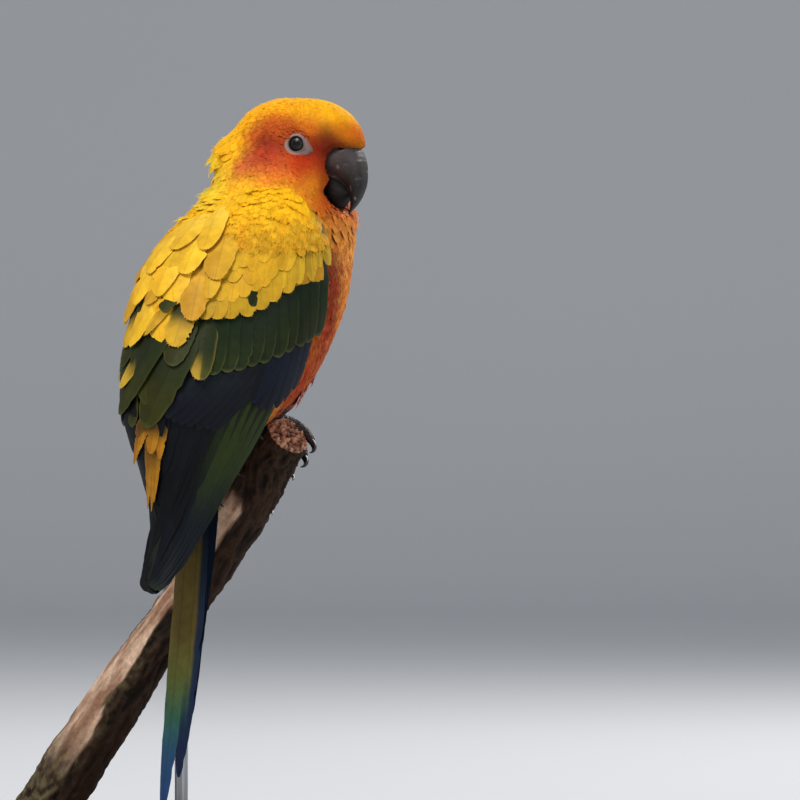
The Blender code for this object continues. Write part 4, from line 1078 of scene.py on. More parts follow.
def region_of(points):
    """The piece of the coat that each root belongs to."""
    spots = in_head(points)
    behind = in_body(points)[:, 0] - section(TORSO, points[:, 2])[0] < 0
    low = points[:, 2] < 186
    up = points[:, 2] > 236
    nape = up & (spots[:, 0] < -4)
    face = up & ~nape
    names = np.where(behind, "coat_back", "coat_breast").astype(object)
    names[low & ~behind] = "coat_belly"
    names[low & behind] = "coat_rump"
    names[nape] = "coat_nape"
    names[face & (spots[:, 1] > 0)] = "coat_face_right"
    names[face & (spots[:, 1] <= 0)] = "coat_face_left"
    names[face & (spots[:, 2] > 8.5)] = "coat_crown"
    names[face & (spots[:, 2] < -13)] = "coat_throat"
    return names


def ruffles(spots, heads, ahead, rng):
    """How loosely the plumage stands at the nape, at the belly's side and at the chin."""
    n = len(spots)
    front, z = ahead > 0, spots[:, 2]
    nape = smooth(heads[:, 0], -7, -17) * smooth(heads[:, 2], 12, 0) * (z > 234)
    ruffled = nape * (rng.uniform(0.4, 1.4, n) + (rng.random(n) < 0.4) * rng.uniform(0.8, 3.0, n))
    belly = smooth(z, 188, 180) * smooth(z, 164, 172) * front
    belly = belly * smooth(np.abs(in_body(spots)[:, 1]), 21, 17)
    ruffled = ruffled + belly * (rng.random(n) < 0.3) * rng.uniform(0.5, 1.8, n)
    chin = smooth(z, 243, 238) * smooth(z, 224, 230) * front
    return ruffled + chin * (rng.random(n) < 0.22) * rng.uniform(0.4, 1.3, n)


def shown(spots, facing, heads, behind, ends, normals):
    """Which feathers show: not the ones under the wings, in the eye's patch or in the bill."""
    covers = [surface_tree(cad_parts[name].data) for name in ("wing_right", "wing_left")]
    root_under = hidden(ends[:, 0], facing, covers, COVER_REACH)
    tip_under = hidden(ends[:, 2], normals[:, 2], covers, COVER_REACH)
    z = spots[:, 2]
    keep = ~(root_under & (tip_under | (z < 186)))
    keep &= ~(tip_under & (z < np.where(behind, 215, 178)))
    keep &= (patch_share(heads) > 0.97) | (heads[:, 2] < -8) | (heads[:, 0] < -2)
    in_bill = (heads[:, 0] > 21.2) & (heads[:, 2] < 2.4) & (heads[:, 2] > -15)
    return keep & ~(in_bill & (np.abs(heads[:, 1]) < 7.5))


def varied(tint, front, z, rng):
    """Tints with the breast's deep and pale feathers, and a little difference everywhere."""
    count = len(tint)
    chance = rng.random(count)
    deep = (front * (chance < 0.4) * rng.uniform(0.1, 0.55, count))[:, None]
    tint = mix(tint, srgb((164, 36, 14)), deep)
    pale = (front * (chance > 0.66) * rng.uniform(0.03, 0.22, count))[:, None]
    tint = mix(tint, srgb((240, 162, 52)), pale)
    calm = np.where(z > 240, 0.6, 1.0)[:, None]
    tint = tint * (1 + 0.06 * calm * rng.standard_normal((count, 1)))
    return tint * (1 + np.array((0.01, 0.07, 0.08)) * calm * rng.standard_normal((count, 1)))


def coat(body_skin, tree, looks):
    """The small feathers of the head, neck, body and thighs."""
    rng = np.random.default_rng(21)
    spots, facing = scatter(body_skin, COAT_TRIES, rng)
    n = len(spots)
    heads = in_head(spots)
    ahead = in_body(spots)[:, 0] - section(TORSO, spots[:, 2])[0]
    lengths = feather_length(spots) * rng.uniform(0.85, 1.15, n)
    loose = rng.uniform(0.92, 1.08, n)
    ruffled = ruffles(spots, heads, ahead, rng)
    # Round the eye the feathers are short and lie close.
    at_eye = smooth(patch_share(heads), 1.8, 1.15) * (heads[:, 2] > -8) * (heads[:, 0] > -2)
    loose = loose * (1 - 0.4 * at_eye)
    lengths = lengths * (1 - 0.36 * at_eye)
    depth = coat_depth(spots)
    lifts = (-0.2 * np.ones(n), depth * 0.85 * np.minimum(loose, 1) + 0.7 * ruffled,
             depth * loose + 1.3 * ruffled)
    ends, normals = laid_on_skin(tree, spots, facing, lengths, lifts)
    keep = shown(spots, facing, heads, ahead < 0, ends, normals)
    spots, ends, normals, lengths, ahead = (part[keep] for part in (spots, ends, normals, lengths, ahead))
    tips = in_head(ends[:, 2])
    inside = (patch_share(tips) < 1.05) & (tips[:, 2] > -6) & (tips[:, 0] > 0)
    ends[inside, 2] = mix(ends[inside, 0], ends[inside, 2], 0.45)
    ends[inside, 1] = (ends[inside, 0] + ends[inside, 2]) / 2
    front = smooth(ahead, 4, 14) * smooth(spots[:, 2], 238, 228)
    tint = varied(coat_color(ends[:, 1]), front, spots[:, 2], rng)
    names, cells, small = region_of(spots), bake_place(spots), lengths < 4.2
    for name in sorted(set(names)):
        store = Store()
        here = names == name
        for chosen, rows, columns in ((here & small, 5, SMALL_COLUMNS), (here & ~small, 7, COAT_COLUMNS)):
            if chosen.any():
                add_small_feathers(store, ends[chosen], normals[chosen], lengths[chosen],
                                   tint[chosen], cells[chosen], rng, rows, columns)
        made = store.build(name, looks)
        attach(made, "root")
        "coat_orange" if "face" in name else "coat_yellow"


def finish_skin(obj, looks):
    points = positions(obj.data) / MM
    set_tints(obj.data, coat_color(points) * 0.92)
    corners = read(obj.data.loops, "vertex_index", 1, np.int32)
    set_map(obj.data, "OFBake", bake_place(points)[corners])
    obj.data.materials.clear()
    obj.data.materials.append(looks)
    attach(obj, "root")
    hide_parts(*FLESH)


# Tail

TAIL_ROOT = np.array((-8.5, 150.0))
TAIL_TIP = np.array((-24.0, 16.2))
TAIL_BOW = 1.6
# Feathers in pairs: lengths of the left and right one, shift at root and tip, depth, and width.
TAIL_PAIRS = (
    ((1.0, 0.9), (2.6, 3.2), 0, 11),
    ((0.79, 0.776), (3.0, 4.6), 0.9, 9),
    ((0.65, 0.63), (3.5, 4.8), 1.6, 8.5),
    ((0.55, 0.53), (4.0, 5.0), 2.2, 8),
    ((0.47, 0.467), (4.4, 5.2), 2.8, 7.5),
    ((0.4, 0.39), (4.8, 5.4), 3.4, 7),
)
# Coverts: shift, length and width.
TAIL_COVERTS = (
    (0, 0.27, 7), (3.6, 0.24, 6.5), (-3.6, 0.24, 6.5), (6, 0.2, 6), (-6, 0.2, 6), (1.5, 0.21, 6),
    (-2, 0.2, 6), (4.6, 0.16, 6), (-4.6, 0.16, 6),
)
TAIL_STOPS = ((0, (108, 90, 36)), (0.5, (98, 82, 34)), (0.64, (76, 84, 38)), (0.74, (44, 84, 66)),
              (0.84, (38, 72, 104)), (1, (38, 62, 112)))
TAIL_EDGE_STOPS = ((0, (30, 40, 50)), (0.5, (22, 34, 54)), (1, (20, 34, 66)))
TAIL_ROWS = 34
# The coverts above and below the tail: how much longer, how far aside they go, the depth of
# their roots and tips, and tints.
TAIL_COVER = (
    (1, 6, (-0.6, -1.3), ((0, (196, 140, 34)), (1, (122, 112, 38)))),
    (1.1, 4, (5.2, 5.8), ((0, (212, 150, 52)), (1, (150, 140, 60)))),
)


def stops(table, share):
    places = [place for place, _ in table]
    colors = np.array([srgb(color) for _, color in table])
    return np.stack([np.interp(share, places, colors[:, k]) for k in range(3)], -1)


def tail_point(t, shift, depth):
    u = mix(TAIL_ROOT[0], TAIL_TIP[0], t) + TAIL_BOW * np.sin(math.pi * t)
    return body(u + depth, shift, mix(TAIL_ROOT[1], TAIL_TIP[1], t))


def add_tail_feather(store, atlas, reach, shifts, depths, width, tint, rng, shape="tail"):
    """One feather of the tail or its coverts. tint gives its grid of tints from the places of
    its stations along the tail."""
    shares = 1 - (1 - np.linspace(0, 1, TAIL_ROWS)) ** 1.2
    s = 0.05 + 0.95 * shares
    centre = tail_point(s * reach, mix(*shifts, s), mix(*depths, s))[None]
    ahead = unit(np.gradient(centre[0], axis=0))[None]
    across = unit(np.cross(ahead, np.broadcast_to(-BODY_FORWARD, centre.shape)))
    half = outline(shape, shares) * width / 2
    half = ragged(np.repeat(half.mean(-1, keepdims=True), 2, -1), shares, 3, 0.3, 0.012, rng)
    cells, cell = atlas.cell()
    add_vanes(store, centre, across, unit(np.cross(across, ahead)), half[None], COLUMNS,
              tint(s * reach)[None], cells, cell, camber=0.1, thick=0.3, ridge=0.12)


def tail_tint(outer_side, dark):
    """The tints of a long feather: greenish along, then blue, with a dark outer web on the side
    given, and a wholly dark tip where it is 2."""
    t = np.array(COLUMNS, float)

    def found(s):
        aside = smooth(-t * np.sign(outer_side), 0.25, 0.6)[None, :]
        tip = smooth(s, 0.6, 0.8)[:, None] * (abs(outer_side) > 1)
        outer = np.maximum(aside * (outer_side != 0), tip)[..., None]
        shaft = np.exp(-((t / 0.05) ** 2))[None, :, None] * 0.3
        tints = mix(stops(TAIL_STOPS, s)[:, None], stops(TAIL_EDGE_STOPS, s)[:, None], outer)
        return np.clip(tints * (1 - shaft) * dark, 0.001, 1)

    return found


def covert_tint(table):
    """The tints of the coverts, the same across each of them."""
    shape = (TAIL_ROWS, len(COLUMNS), 3)
    return lambda s: np.broadcast_to(stops(table, s * 3)[:, None], shape)


def tail(looks):
    """The long graduated tail, with its coverts above and below."""
    rng = np.random.default_rng(31)
    store, atlas = Store(), Atlas(7)
    for pair, (reaches, shifts, depth, width) in enumerate(TAIL_PAIRS):
        for side, reach in zip((-1, 1), reaches):
            moved = (shifts[0] * side, shifts[1] * side)
            level = depth + 0.17 * (side + 1)
            outer = side if pair else (2 if side > 0 else 0)
            tint = tail_tint(outer, 1 - 0.06 * pair)
            add_tail_feather(store, atlas, reach, moved, (level, level), width, tint, rng)
    for stretch, widest, depths, table in TAIL_COVER:
        for shift, reach, width in TAIL_COVERTS:
            if abs(shift) <= widest:
                add_tail_feather(store, atlas, reach * stretch, (shift, shift), depths, width,
                                 covert_tint(table), rng, "covert")
    made = store.build("feathers_tail", looks)
    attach(made, "root")
    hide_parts("tail")


# Closed surfaces of rings: bill, toes, claws and branch


def curve_at(table, spots):
    """Points of a smooth curve through the rows of a table, at places counted in rows."""
    table = np.asarray(table, float)
    spots = np.asarray(spots, float)
    i = np.minimum(spots.astype(int), len(table) - 2)
    s = (spots - i)[:, None]
    a, b, c, d = (table[np.clip(i + k, 0, len(table) - 1)] for k in (-1, 0, 1, 2))
    turn = (a - b * 2.5 + c * 2 - d * 0.5) * s**2 + (b * 1.5 - a * 0.5 - c * 1.5 + d * 0.5) * s**3
    return b + (c - a) * (0.5 * s) + turn


def curve(table, count):
    return curve_at(table, np.linspace(0, len(table) - 1, count))


def ring_surface(name, rings, tints, looks, vane, replaced=(), looped=False):
    """A closed surface through rings of points (rows, turns, 3). It is capped at both ends, or
    where it is looped, its last ring joins its first."""
    rows, turns = rings.shape[:2]
    index = np.arange(rows * turns).reshape(rows, turns)
    after = np.roll(index, -1, axis=1)
    quads = np.stack([index, after, np.roll(after, -1, axis=0), np.roll(index, -1, axis=0)], -1)
    points, tints, places = rings.reshape(-1, 3), tints.reshape(-1, 3), vane.reshape(-1, 2)
    caps = []
    if not looped:
        quads = quads[:-1]
        points, tints, places = (
            np.concatenate([part] + [part[ends].mean(0)[None] for ends in (index[0], index[-1])])
            for part in (points, tints, places)
        )
        caps = [np.stack([after[0], index[0], np.full(turns, rows * turns)], -1),
                np.stack([index[-1], after[-1], np.full(turns, rows * turns + 1)], -1)]
    faces = [tuple(face) for part in (quads.reshape(-1, 4), *caps) for face in part.tolist()]
    mesh = bpy.data.meshes.new(name)
    mesh.from_pydata((points * MM).tolist(), [], faces)
    mesh.update()
    shape = bmesh.new()
    shape.from_mesh(mesh)
    if shape.calc_volume(signed=True) < 0:
        bmesh.ops.reverse_faces(shape, faces=shape.faces)
        shape.to_mesh(mesh)
    shape.free()
    mesh.shade_smooth()
    set_tints(mesh, np.clip(tints, 0.001, 1))
    set_map(mesh, "vane", places[read(mesh.loops, "vertex_index", 1, np.int32)])
    mesh.materials.append(looks)
    made = new_object(name, mesh)
    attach(made, "root")
    if replaced:
        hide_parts(*replaced)
    return made


def fractal(points, scale, octaves=4):
    """Blender's own noise at points, in several octaves, about 0."""
    total = np.zeros(len(points))
    for k in range(octaves):
        size = scale / 2**k
        total += [noise.noise(Vector(p / size + k * 7.3)) / 2**k for p in points]
    return total


def horn_material(name, roughness, relief, scratch, gloss=0.5):
    """Horn: growth lines and fine pale scratches over the surface's own tints."""
    add, finish = material(name)
    place = solid_place(add)
    lines = speckle(add, stretched(add, place, (520, 520, 1500)), 1.0, 4.0, 0.6)
    worn = carried(add, speckle(add, place, 900.0, 5.0, 0.75, 1.2), 0.62, 0.72, 0.0, scratch)
    color = scaled(add, own_tint(add), carried(add, lines, 0.3, 0.7, 0.78, 1.25))
    pale = (*srgb((176, 164, 158)), 1)
    color = add("Mix", {0: worn, 6: color, 7: pale}, 2, data_type="RGBA")
    return finish({"Base Color": color, "Normal": raised(add, lines, relief, 0.0002),
                   "Roughness": roughness, "Specular IOR Level": gloss})


UPPER_BILL = (
    ((14, 4), (13, -8), 7.4), ((21, 5.2), (17.5, -8.2), 8.6), ((27.3, 4.2), (20.5, -9.2), 8.5),
    ((30.6, -0.8), (23, -10.6), 7.4), ((31.6, -6.6), (25, -12.4), 6.0),
    ((31.5, -11.6), (25.9, -14.6), 4.6), ((30, -16), (26.2, -17), 3.2),
    ((27.9, -19.3), (25.8, -19.6), 1.9), ((25.3, -22), (24.9, -21.8), 0.5),
)
LOWER_BILL = (
    ((15.4, -16), (14.8, -6), 4.2), ((19, -19.7), (18.5, -7.4), 5.2),
    ((21.7, -20.5), (21.6, -9.6), 5.7), ((24.2, -17.6), (24.2, -12.2), 4.9),
    ((26, -15.2), (25.9, -13.8), 3.0),
)
BILL_TURNS = 72
# The model's own bill is rounded from a coarser cage, and so it is slightly slimmer.
BILL_TRIM = 0.94
BILL_CLOSED = 1.3
# Pale worn flakes on the upper half: place ahead and up, and half sizes.
BILL_FLAKES = (
    (23.6, -5, 0.5, 0.5), (29.8, -9.4, 0.9, 0.35), (31.2, -6.6, 0.4, 0.4), (27.6, -12.6, 0.3, 0.9),
    (20.6, -8.6, 1.1, 0.3), (28.6, -17, 0.3, 0.7), (30.6, -2.6, 0.5, 0.25),
)
NOSTRIL = np.array((24.6, 6.6, 2.6))


def bill(name, table, count, up_sign, looks):
    """One half of the bill, with ridges of growth, worn edges and, above, the nostrils."""
    rows = curve([(*out, *inner, wide) for out, inner, wide in table], count)
    turn = -math.pi + 2 * math.pi * (np.arange(BILL_TURNS) + 0.5) / BILL_TURNS
    rise = ((1 + np.cos(turn)) / 2) ** 0.8
    spread = np.sign(np.sin(turn)) * np.abs(np.sin(turn)) ** 0.75
    out, inner, wide = rows[:, None, :2], rows[:, None, 2:4], np.maximum(rows[:, 4:5], 0.25)
    # The halves meet: each one's inner edge reaches a little into the other.
    inner = inner + unit(inner - out) * BILL_CLOSED * (1 - np.linspace(0, 1, count) ** 3)[:, None, None]
    flat = inner + (out - inner) * rise[None, :, None]
    middle = (out + inner) / 2
    flat = middle + (flat - middle) * BILL_TRIM
    v = up_sign * wide * spread[None] * BILL_TRIM
    spots = np.stack([flat[..., 0], v, flat[..., 1]], -1)
    along = np.linspace(0, 1, count)[:, None]
    grown = 0.025 * np.sin(along * 150 + 2 * np.cos(turn)[None]) * (rise[None] > 0.1)
    points = head(spots[..., 0], spots[..., 1], spots[..., 2])
    away = unit(points - points.mean(1, keepdims=True))
    rough = fractal(points.reshape(-1, 3), 5.0).reshape(points.shape[:2])
    points = points + away * (grown + 0.12 * rough)[..., None]
    spots_flat = spots.reshape(-1, 3)
    dark = np.zeros(len(spots_flat))
    if up_sign > 0:
        for side in (1, -1):
            gap = np.linalg.norm(spots_flat - NOSTRIL * (1, side, 1), axis=1)
            pit = np.exp(-((gap / 1.1) ** 2)) * 0.9 - np.exp(-(((gap - 2.0) / 0.6) ** 2)) * 0.2
            points = points - away * pit.reshape(points.shape[:2])[..., None]
            dark = np.maximum(dark, np.exp(-((gap / 1.2) ** 4)))
    height = smooth(spots_flat[:, 2], -14, 2)[:, None]
    found = mix(srgb((26, 21, 20)), srgb((66, 57, 56)), height)
    front = smooth(spots_flat[:, 2], -13, -20)[:, None]
    found = mix(found, srgb((18, 14, 14)), front)
    if up_sign < 0:
        found = found * 0.7
    for u, w, long, tall in BILL_FLAKES:
        away = np.hypot((spots_flat[:, 0] - u) / long, (spots_flat[:, 2] - w) / tall)
        ragged = np.exp(-(away**2)) * smooth(rough.reshape(-1), -0.4, 0.3)
        found = mix(found, srgb((150, 138, 130)), (0.75 * ragged)[:, None])
    edge = (1 - smooth(np.tile(rise, count), 0.02, 0.2))[:, None]
    found = mix(found, srgb((112, 100, 96)), edge * (0.5 if up_sign > 0 else 0.1))
    found = found * (1 + 0.35 * rough.reshape(-1, 1))
    # The nostrils are painted near black, as painted shade in their pits.
    found = mix(found, srgb((12, 10, 10)), dark[:, None])
    vane = np.stack(np.broadcast_arrays(turn[None] / math.pi, along * 3), -1)
    tints = found.reshape(*points.shape)
    ring_surface(name, points, tints, looks, vane, (name,))


# Eyes and their bare lids

EYE_AXIS = unit(np.array((0.096, 0.995, 0.02)))
OPENING = math.radians(42.5)
# The lids reach at least this far out, under the feathers, so that they close the eye's socket.
LID_REACH = 5.0
EYE_STOPS = ((0.0, (3, 3, 4)), (0.34, (4, 4, 5)), (0.4, (23, 17, 16)), (0.52, (38, 30, 29)),
             (0.66, (27, 21, 20)), (0.74, (10, 9, 9)), (1.0, (9, 8, 8)))


def head_way(way, side=1):
    """A direction of the head's frame in the world, mirrored for the left side."""
    return HEAD_FORWARD * way[0] + HEAD_RIGHT * (way[1] * side) + UP * way[2]


def eye_material():
    """Pupil, iris and rim as rings by how far round from the gaze a point lies."""
    add, finish = material("eye")
    place = vane_place(add)
    turned = add("SeparateXYZ", {0: place}).node.outputs[1]
    streaks = speckle(add, place, 9.0, 3.0)
    ring = add("Math", {0: streaks, 1: 0.06, 2: turned}, operation="MULTIPLY_ADD")
    return finish({"Base Color": ramp(add, ring, EYE_STOPS), "Roughness": 0.26,
                   "Specular IOR Level": 0.3})


def eye(name, side, looks):
    """An eyeball with its poles along the gaze, so that its rings are pupil, iris and white."""
    axis = head_way(EYE_AXIS, side)
    first = unit(np.cross(UP, axis))
    second = np.cross(axis, first)
    centre = head(EYE[0], side * EYE[1], EYE[2])
    polar = np.linspace(0.03, math.pi - 0.03, 56)[:, None]
    turn = np.linspace(0, 2 * math.pi, 48, endpoint=False)[None]
    ring = first * np.cos(turn)[..., None] + second * np.sin(turn)[..., None]
    points = centre + EYE_RADIUS * (
        axis * np.cos(polar)[..., None] + ring * np.sin(polar)[..., None]
    )
    vane = np.stack(np.broadcast_arrays(turn / math.pi, polar / OPENING * 0.75), -1)
    tints = np.full(points.shape, 0.02)
    return ring_surface(name, points, tints, looks, vane, (name,))


def lids(name, side, tree, looks):
    """The bare pale ring round an eye: a rolled lip, and folds that run out over the skin."""
    axis = head_way(EYE_AXIS)
    ahead = unit(np.cross(axis, UP)) * -1
    ahead = ahead * np.sign(ahead @ HEAD_FORWARD)
    over = unit(np.cross(axis, ahead))
    over = over * np.sign(over[2])
    centre = head(*EYE)
    middle = np.array((37.1, 0.0, 263.6))
    turns, steps = 96, 22
    top = np.zeros((steps, turns, 3))
    shades = np.zeros((steps, turns))
    for j in range(turns):
        a = 2 * math.pi * j / turns
        degrees = math.degrees(a) if a < math.radians(300) else math.degrees(a) - 360
        reach = np.interp(degrees, PATCH[:, 0], PATCH[:, 1])
        reach = max(reach + 0.4, LID_REACH)
        way = ahead * math.cos(a) + over * math.sin(a)
        inner = centre + (EYE_RADIUS + 0.02) * (axis * math.cos(OPENING) + way * math.sin(OPENING))
        aim = middle + np.array((math.cos(a) * reach, 0, math.sin(a) * reach))
        hit = tree.ray_cast(Vector((aim[0], -60, aim[2])) * MM, Vector((0, 1, 0)))[0]
        outer = np.array(hit) / MM - axis * 0.1
        # Over the eyeball's socket the ray runs in too far, and the rim stays level with the lid.
        lowest = EYE_RADIUS * math.cos(OPENING) - 0.45 * (reach - EYE_RADIUS * math.sin(OPENING))
        if (outer - centre) @ axis < lowest:
            away = aim - centre
            outer = np.array((aim[0], centre[1], aim[2]))
            outer[1] += (lowest - away[0] * axis[0] - away[2] * axis[2]) / axis[1]
        for i in range(steps):
            s = i / (steps - 1)
            flat = mix(inner, outer, s)
            lip = 0.62 * math.exp(-(((s - 0.16) / 0.13) ** 2)) * smooth(s, 0, 0.1)
            folds = 0.05 * math.sin(s * 34 + 1.2 * math.sin(3 * a)) * smooth(s, 0.25, 0.4)
            spot = flat + axis * (lip + folds + 0.35 * math.sin(math.pi * s))
            below = tree.ray_cast(Vector((spot + axis * 6) * MM), Vector(-axis))[0]
            beyond = smooth(patch_share(in_head(spot[None]))[0], 1.03, 1.16)
            if below is not None and s > 0.35 and beyond < 0.5:
                lowest = (np.array(below) / MM - spot) @ axis + 0.3 * (1 - smooth(s, 0.8, 1))
                spot = spot + axis * min(max(0.0, lowest), 1.2)
            spot = spot - axis * (0.4 * beyond)
            top[i, j] = spot
            shades[i, j] = s
    under = top[::-1] - axis * 0.9
    rings = np.concatenate([top, under])
    share = np.concatenate([shades, shades[::-1]])
    tints = mix(srgb((36, 32, 34)), srgb((156, 132, 126)), smooth(share, 0.04, 0.24)[..., None])
    tints = mix(tints, srgb((146, 92, 82)), smooth(share, 0.5, 1)[..., None])
    # The ring is painted darker toward its front, as painted shade.
    shaded = smooth(np.cos(2 * math.pi * np.arange(turns) / turns), 0.0, 1.0)
    tints = tints * mix(1.0, 0.72, shaded)[None, :, None]
    spots = rings.reshape(-1, 3)
    feathered = smooth(patch_share(in_head(spots)), 0.98, 1.06)[:, None].reshape(*share.shape, 1)
    tints = mix(tints, srgb((178, 66, 22)), feathered)
    if side < 0:
        spots = in_head(rings.reshape(-1, 3)) * (1, -1, 1)
        rings = head(*spots.T).reshape(rings.shape)
    turn = np.broadcast_to(np.arange(turns)[None] / turns * 6, share.shape)
    vane = np.stack([turn, share * 2], -1)
    ring_surface(name, rings, tints, looks, vane, looped=True)


# What scales do to their tint, from the crease to the middle.
LID_SCALES = ((206, 202, 202), (238, 236, 236), (255, 255, 255))
FOOT_SCALES = ((60, 50, 48), (190, 180, 175), (255, 255, 255))


def scaly_material(name, stretch_by, colors, relief, roughness):
    """Small scales with dark creases, over the surface's own tints."""
    add, finish = material(name)
    place = stretched(add, vane_place(add), (*stretch_by, 1))
    gaps = add("TexVoronoi", {"Vector": place, "Scale": 1.0}, "Distance", feature="DISTANCE_TO_EDGE")
    crease = ramp(add, gaps, tuple(zip((0.0, 0.12, 0.5), colors)))
    color = add("Mix", {0: 1, 6: own_tint(add), 7: crease}, 2, data_type="RGBA", blend_type="MULTIPLY")
    edge = carried(add, gaps, 0.0, 0.16, 0.0, 1.0)
    return finish({"Base Color": color, "Normal": raised(add, edge, relief, 0.0002),
                   "Roughness": roughness})


# Branch

BRANCH = (
    (34.4, -1.5, 154.8, 8.4), (29.6, 3.5, 148.2, 9.0), (24.3, 8.2, 138.1, 9.1),
    (15.2, 13.5, 124.0, 9.6), (4.1, 19.0, 106.7, 8.6), (-8.5, 24.0, 88.5, 9.1),
    (-21.5, 30.0, 70.4, 9.6), (-34.4, 34.0, 51.5, 10.8), (-53.7, 40.0, 20.4, 11.2),
    (-61.0, 42.0, 8.0, 11.5),
)
SAWN_HEIGHT = 16


def branch_frame(t):
    """Centre, radius, way down the branch, its upper side and its far side, at one share."""
    spots = np.clip((t, t + 0.01, t - 0.01), 0, 1) * (len(BRANCH) - 1)
    here, below, above = curve_at(BRANCH, spots)
    ahead = unit(below[:3] - above[:3])
    top = unit(UP - ahead * ahead[2])
    return here[:3], here[3], ahead, top, np.cross(ahead, top)


def bark_material():
    """Fibres down the branch and specks, over the bark's own tints."""
    add, finish = material("bark")
    fibre = speckle(add, stretched(add, vane_place(add), (7, 2.2, 1)), 2.2, 6.0, 0.7)
    specks = speckle(add, solid_place(add), 420.0, 5.0, 0.7)
    both = add("Math", {0: fibre, 1: specks}, operation="MULTIPLY")
    color = scaled(add, own_tint(add), carried(add, both, 0.12, 0.4, 0.65, 1.4))
    return finish({"Base Color": color, "Normal": raised(add, both, 0.6, 0.0006),
                   "Roughness": 0.85, "Specular IOR Level": 0.2})


BRANCH_ROWS = 260
BRANCH_TURNS = 110


def branch(looks):
    """The perch: ridged bark, a strip worn bare, and a chewed end above."""
    rows, turns = BRANCH_ROWS, BRANCH_TURNS
    last = 0.965
    frames = [branch_frame(last * i / (rows - 1)) for i in range(rows)]
    centre, radius, ahead, top, far = (np.array(part) for part in zip(*frames))
    turn = 2 * math.pi * np.arange(turns) / turns
    way = top[:, None] * np.cos(turn)[None, :, None] - far[:, None] * np.sin(turn)[None, :, None]
    flat = centre[:, None] + way * radius[:, None, None]
    along = np.linspace(0, 200, rows)
    wave = np.stack(np.broadcast_arrays(
        np.cos(turn)[None] * 9, np.sin(turn)[None] * 9, along[:, None] * 0.2), -1).reshape(-1, 3)
    ridges = fractal(wave, 4.2, 4).reshape(rows, turns)
    knots = fractal(flat.reshape(-1, 3), 26.0, 2).reshape(rows, turns)
    fine = fractal(flat.reshape(-1, 3), 2.6, 3).reshape(rows, turns)
    # The worn strip runs down the side that shows at the upper left in the photograph.
    strip_way = unit(np.array((-0.75, -0.5, 0.45)))
    toward = (way * strip_way).sum(-1) + 0.25 * knots + 0.18 * ridges
    worn = smooth(toward, 0.54, 0.64) * (smooth(along, 54, 62) * smooth(along, 180, 164))[:, None]
    bark = np.abs(ridges) * -1.9 + 0.55 + 0.4 * fine
    height = mix(bark, -0.75 + 0.12 * fine, worn) + 0.9 * knots
    points = flat + way * height[..., None]
    # The chewed end closes in a ragged face.
    end_rows = 46
    cap, cap_tints = [], []
    for k in range(end_rows):
        s = (k + 1) / end_rows
        ring = centre[0] + (points[0] - centre[0]) * math.cos(s * math.pi / 2) ** 0.7
        spots = ring / 1.0
        rag = fractal(spots, 3.6, 2) * 1.1 + fractal(spots, 1.2, 3) * 1.3
        ring = ring - ahead[0] * (1.8 * math.sin(s * math.pi / 2) + rag * smooth(s, 0, 0.2))[..., None]
        cap.append(ring)
        grain = fractal(spots, 1.6, 3)
        tone = mix(srgb((96, 44, 32)), srgb((190, 138, 108)), smooth(grain + 0.5 * rag, -0.6, 0.9)[:, None])
        # The end face is painted near black at its rim, which is the bark's own edge, and in its deepest
        # pits, where the dark is painted shade.
        tone = mix(srgb((36, 20, 14)), tone, smooth(s, 0, 0.1) * smooth(rag, -1.1, -0.2)[:, None])
        lower = smooth(centre[0, 2] - spots[:, 2], 1, 7)[:, None]
        tone = mix(tone, srgb((206, 168, 140)), 0.5 * lower * smooth(grain, -0.1, 0.5)[:, None])
        cap_tints.append(tone)
    # The bark is tinted darker down in its furrows and browner on its ridges: partly the bark's own colour,
    # partly painted shade in the furrows.
    dark, brown = srgb((27, 18, 12)), srgb((54, 36, 24))
    tints = mix(dark, brown, smooth(bark, -0.7, 0.6)[..., None])
    # Low on the side toward the upper left, which faces the key lamp, the bark is painted a paler grey
    # green, as a painted highlight.
    painted_highlight = smooth(toward, 0.1, 0.8) * smooth(along, 112, 140)[:, None] * smooth(fine, -0.4, 0.5)
    tints = mix(tints, srgb((104, 94, 68)), painted_highlight[..., None] * 0.8)
    bare = mix(srgb((140, 104, 82)), srgb((204, 172, 148)), smooth(ridges, -0.35, 0.35)[..., None])
    tints = mix(tints, bare, worn[..., None])
    rings = np.concatenate([np.array(cap)[::-1], points])
    colors = np.concatenate([np.array(cap_tints)[::-1], tints])
    low = rings[..., 2] < SAWN_HEIGHT
    rings[low, 2] = SAWN_HEIGHT
    length = np.concatenate([np.linspace(-9, 0, end_rows), along])
    vane = np.stack(np.broadcast_arrays(
        np.abs(turn / math.pi - 1)[None] * 3, length[:, None] * 0.1), -1)
    return ring_surface("branch", rings, colors, looks, vane, ("perch",))


# Feet

TOE_RADIUS = 1.9
CLAW_RADIUS = 1.15
CLAW_WRAP = 42
BACK_CLAW_WRAP = 30
TOE_GAP = 0.35
# Radii down the shank, thickness along a toe and a claw, how far the claw arches off the branch,
# and the tints of root and tip.
SHANK_RADII = (2.9, 2.9, 2.6, 2.7)
TOE_TAPER = (1.1, 1.0, 1.08, 0.95, 0.82)
CLAW_TAPER = (1.05, 1.0, 0.78, 0.5, 0.16)
CLAW_LIFT = np.array((0.0, 0.9, 1.2, 0.9, 0.1))
TOE_TINTS = ((96, 82, 78), (70, 58, 56))
CLAW_TINTS = ((42, 38, 40), (14, 12, 14))
RIGHT_FOOT = (0.035, ((0.0, 104), (0.085, 112), (0.04, -56), (0.125, -48)))
LEFT_FOOT = (0.235, ((0.185, 84), (0.29, 88), (0.21, -56), (0.31, -48)))
RIGHT_ANKLE = (28.5, 9, 167.5)
LEFT_ANKLE = (23.5, -8.5, 153)


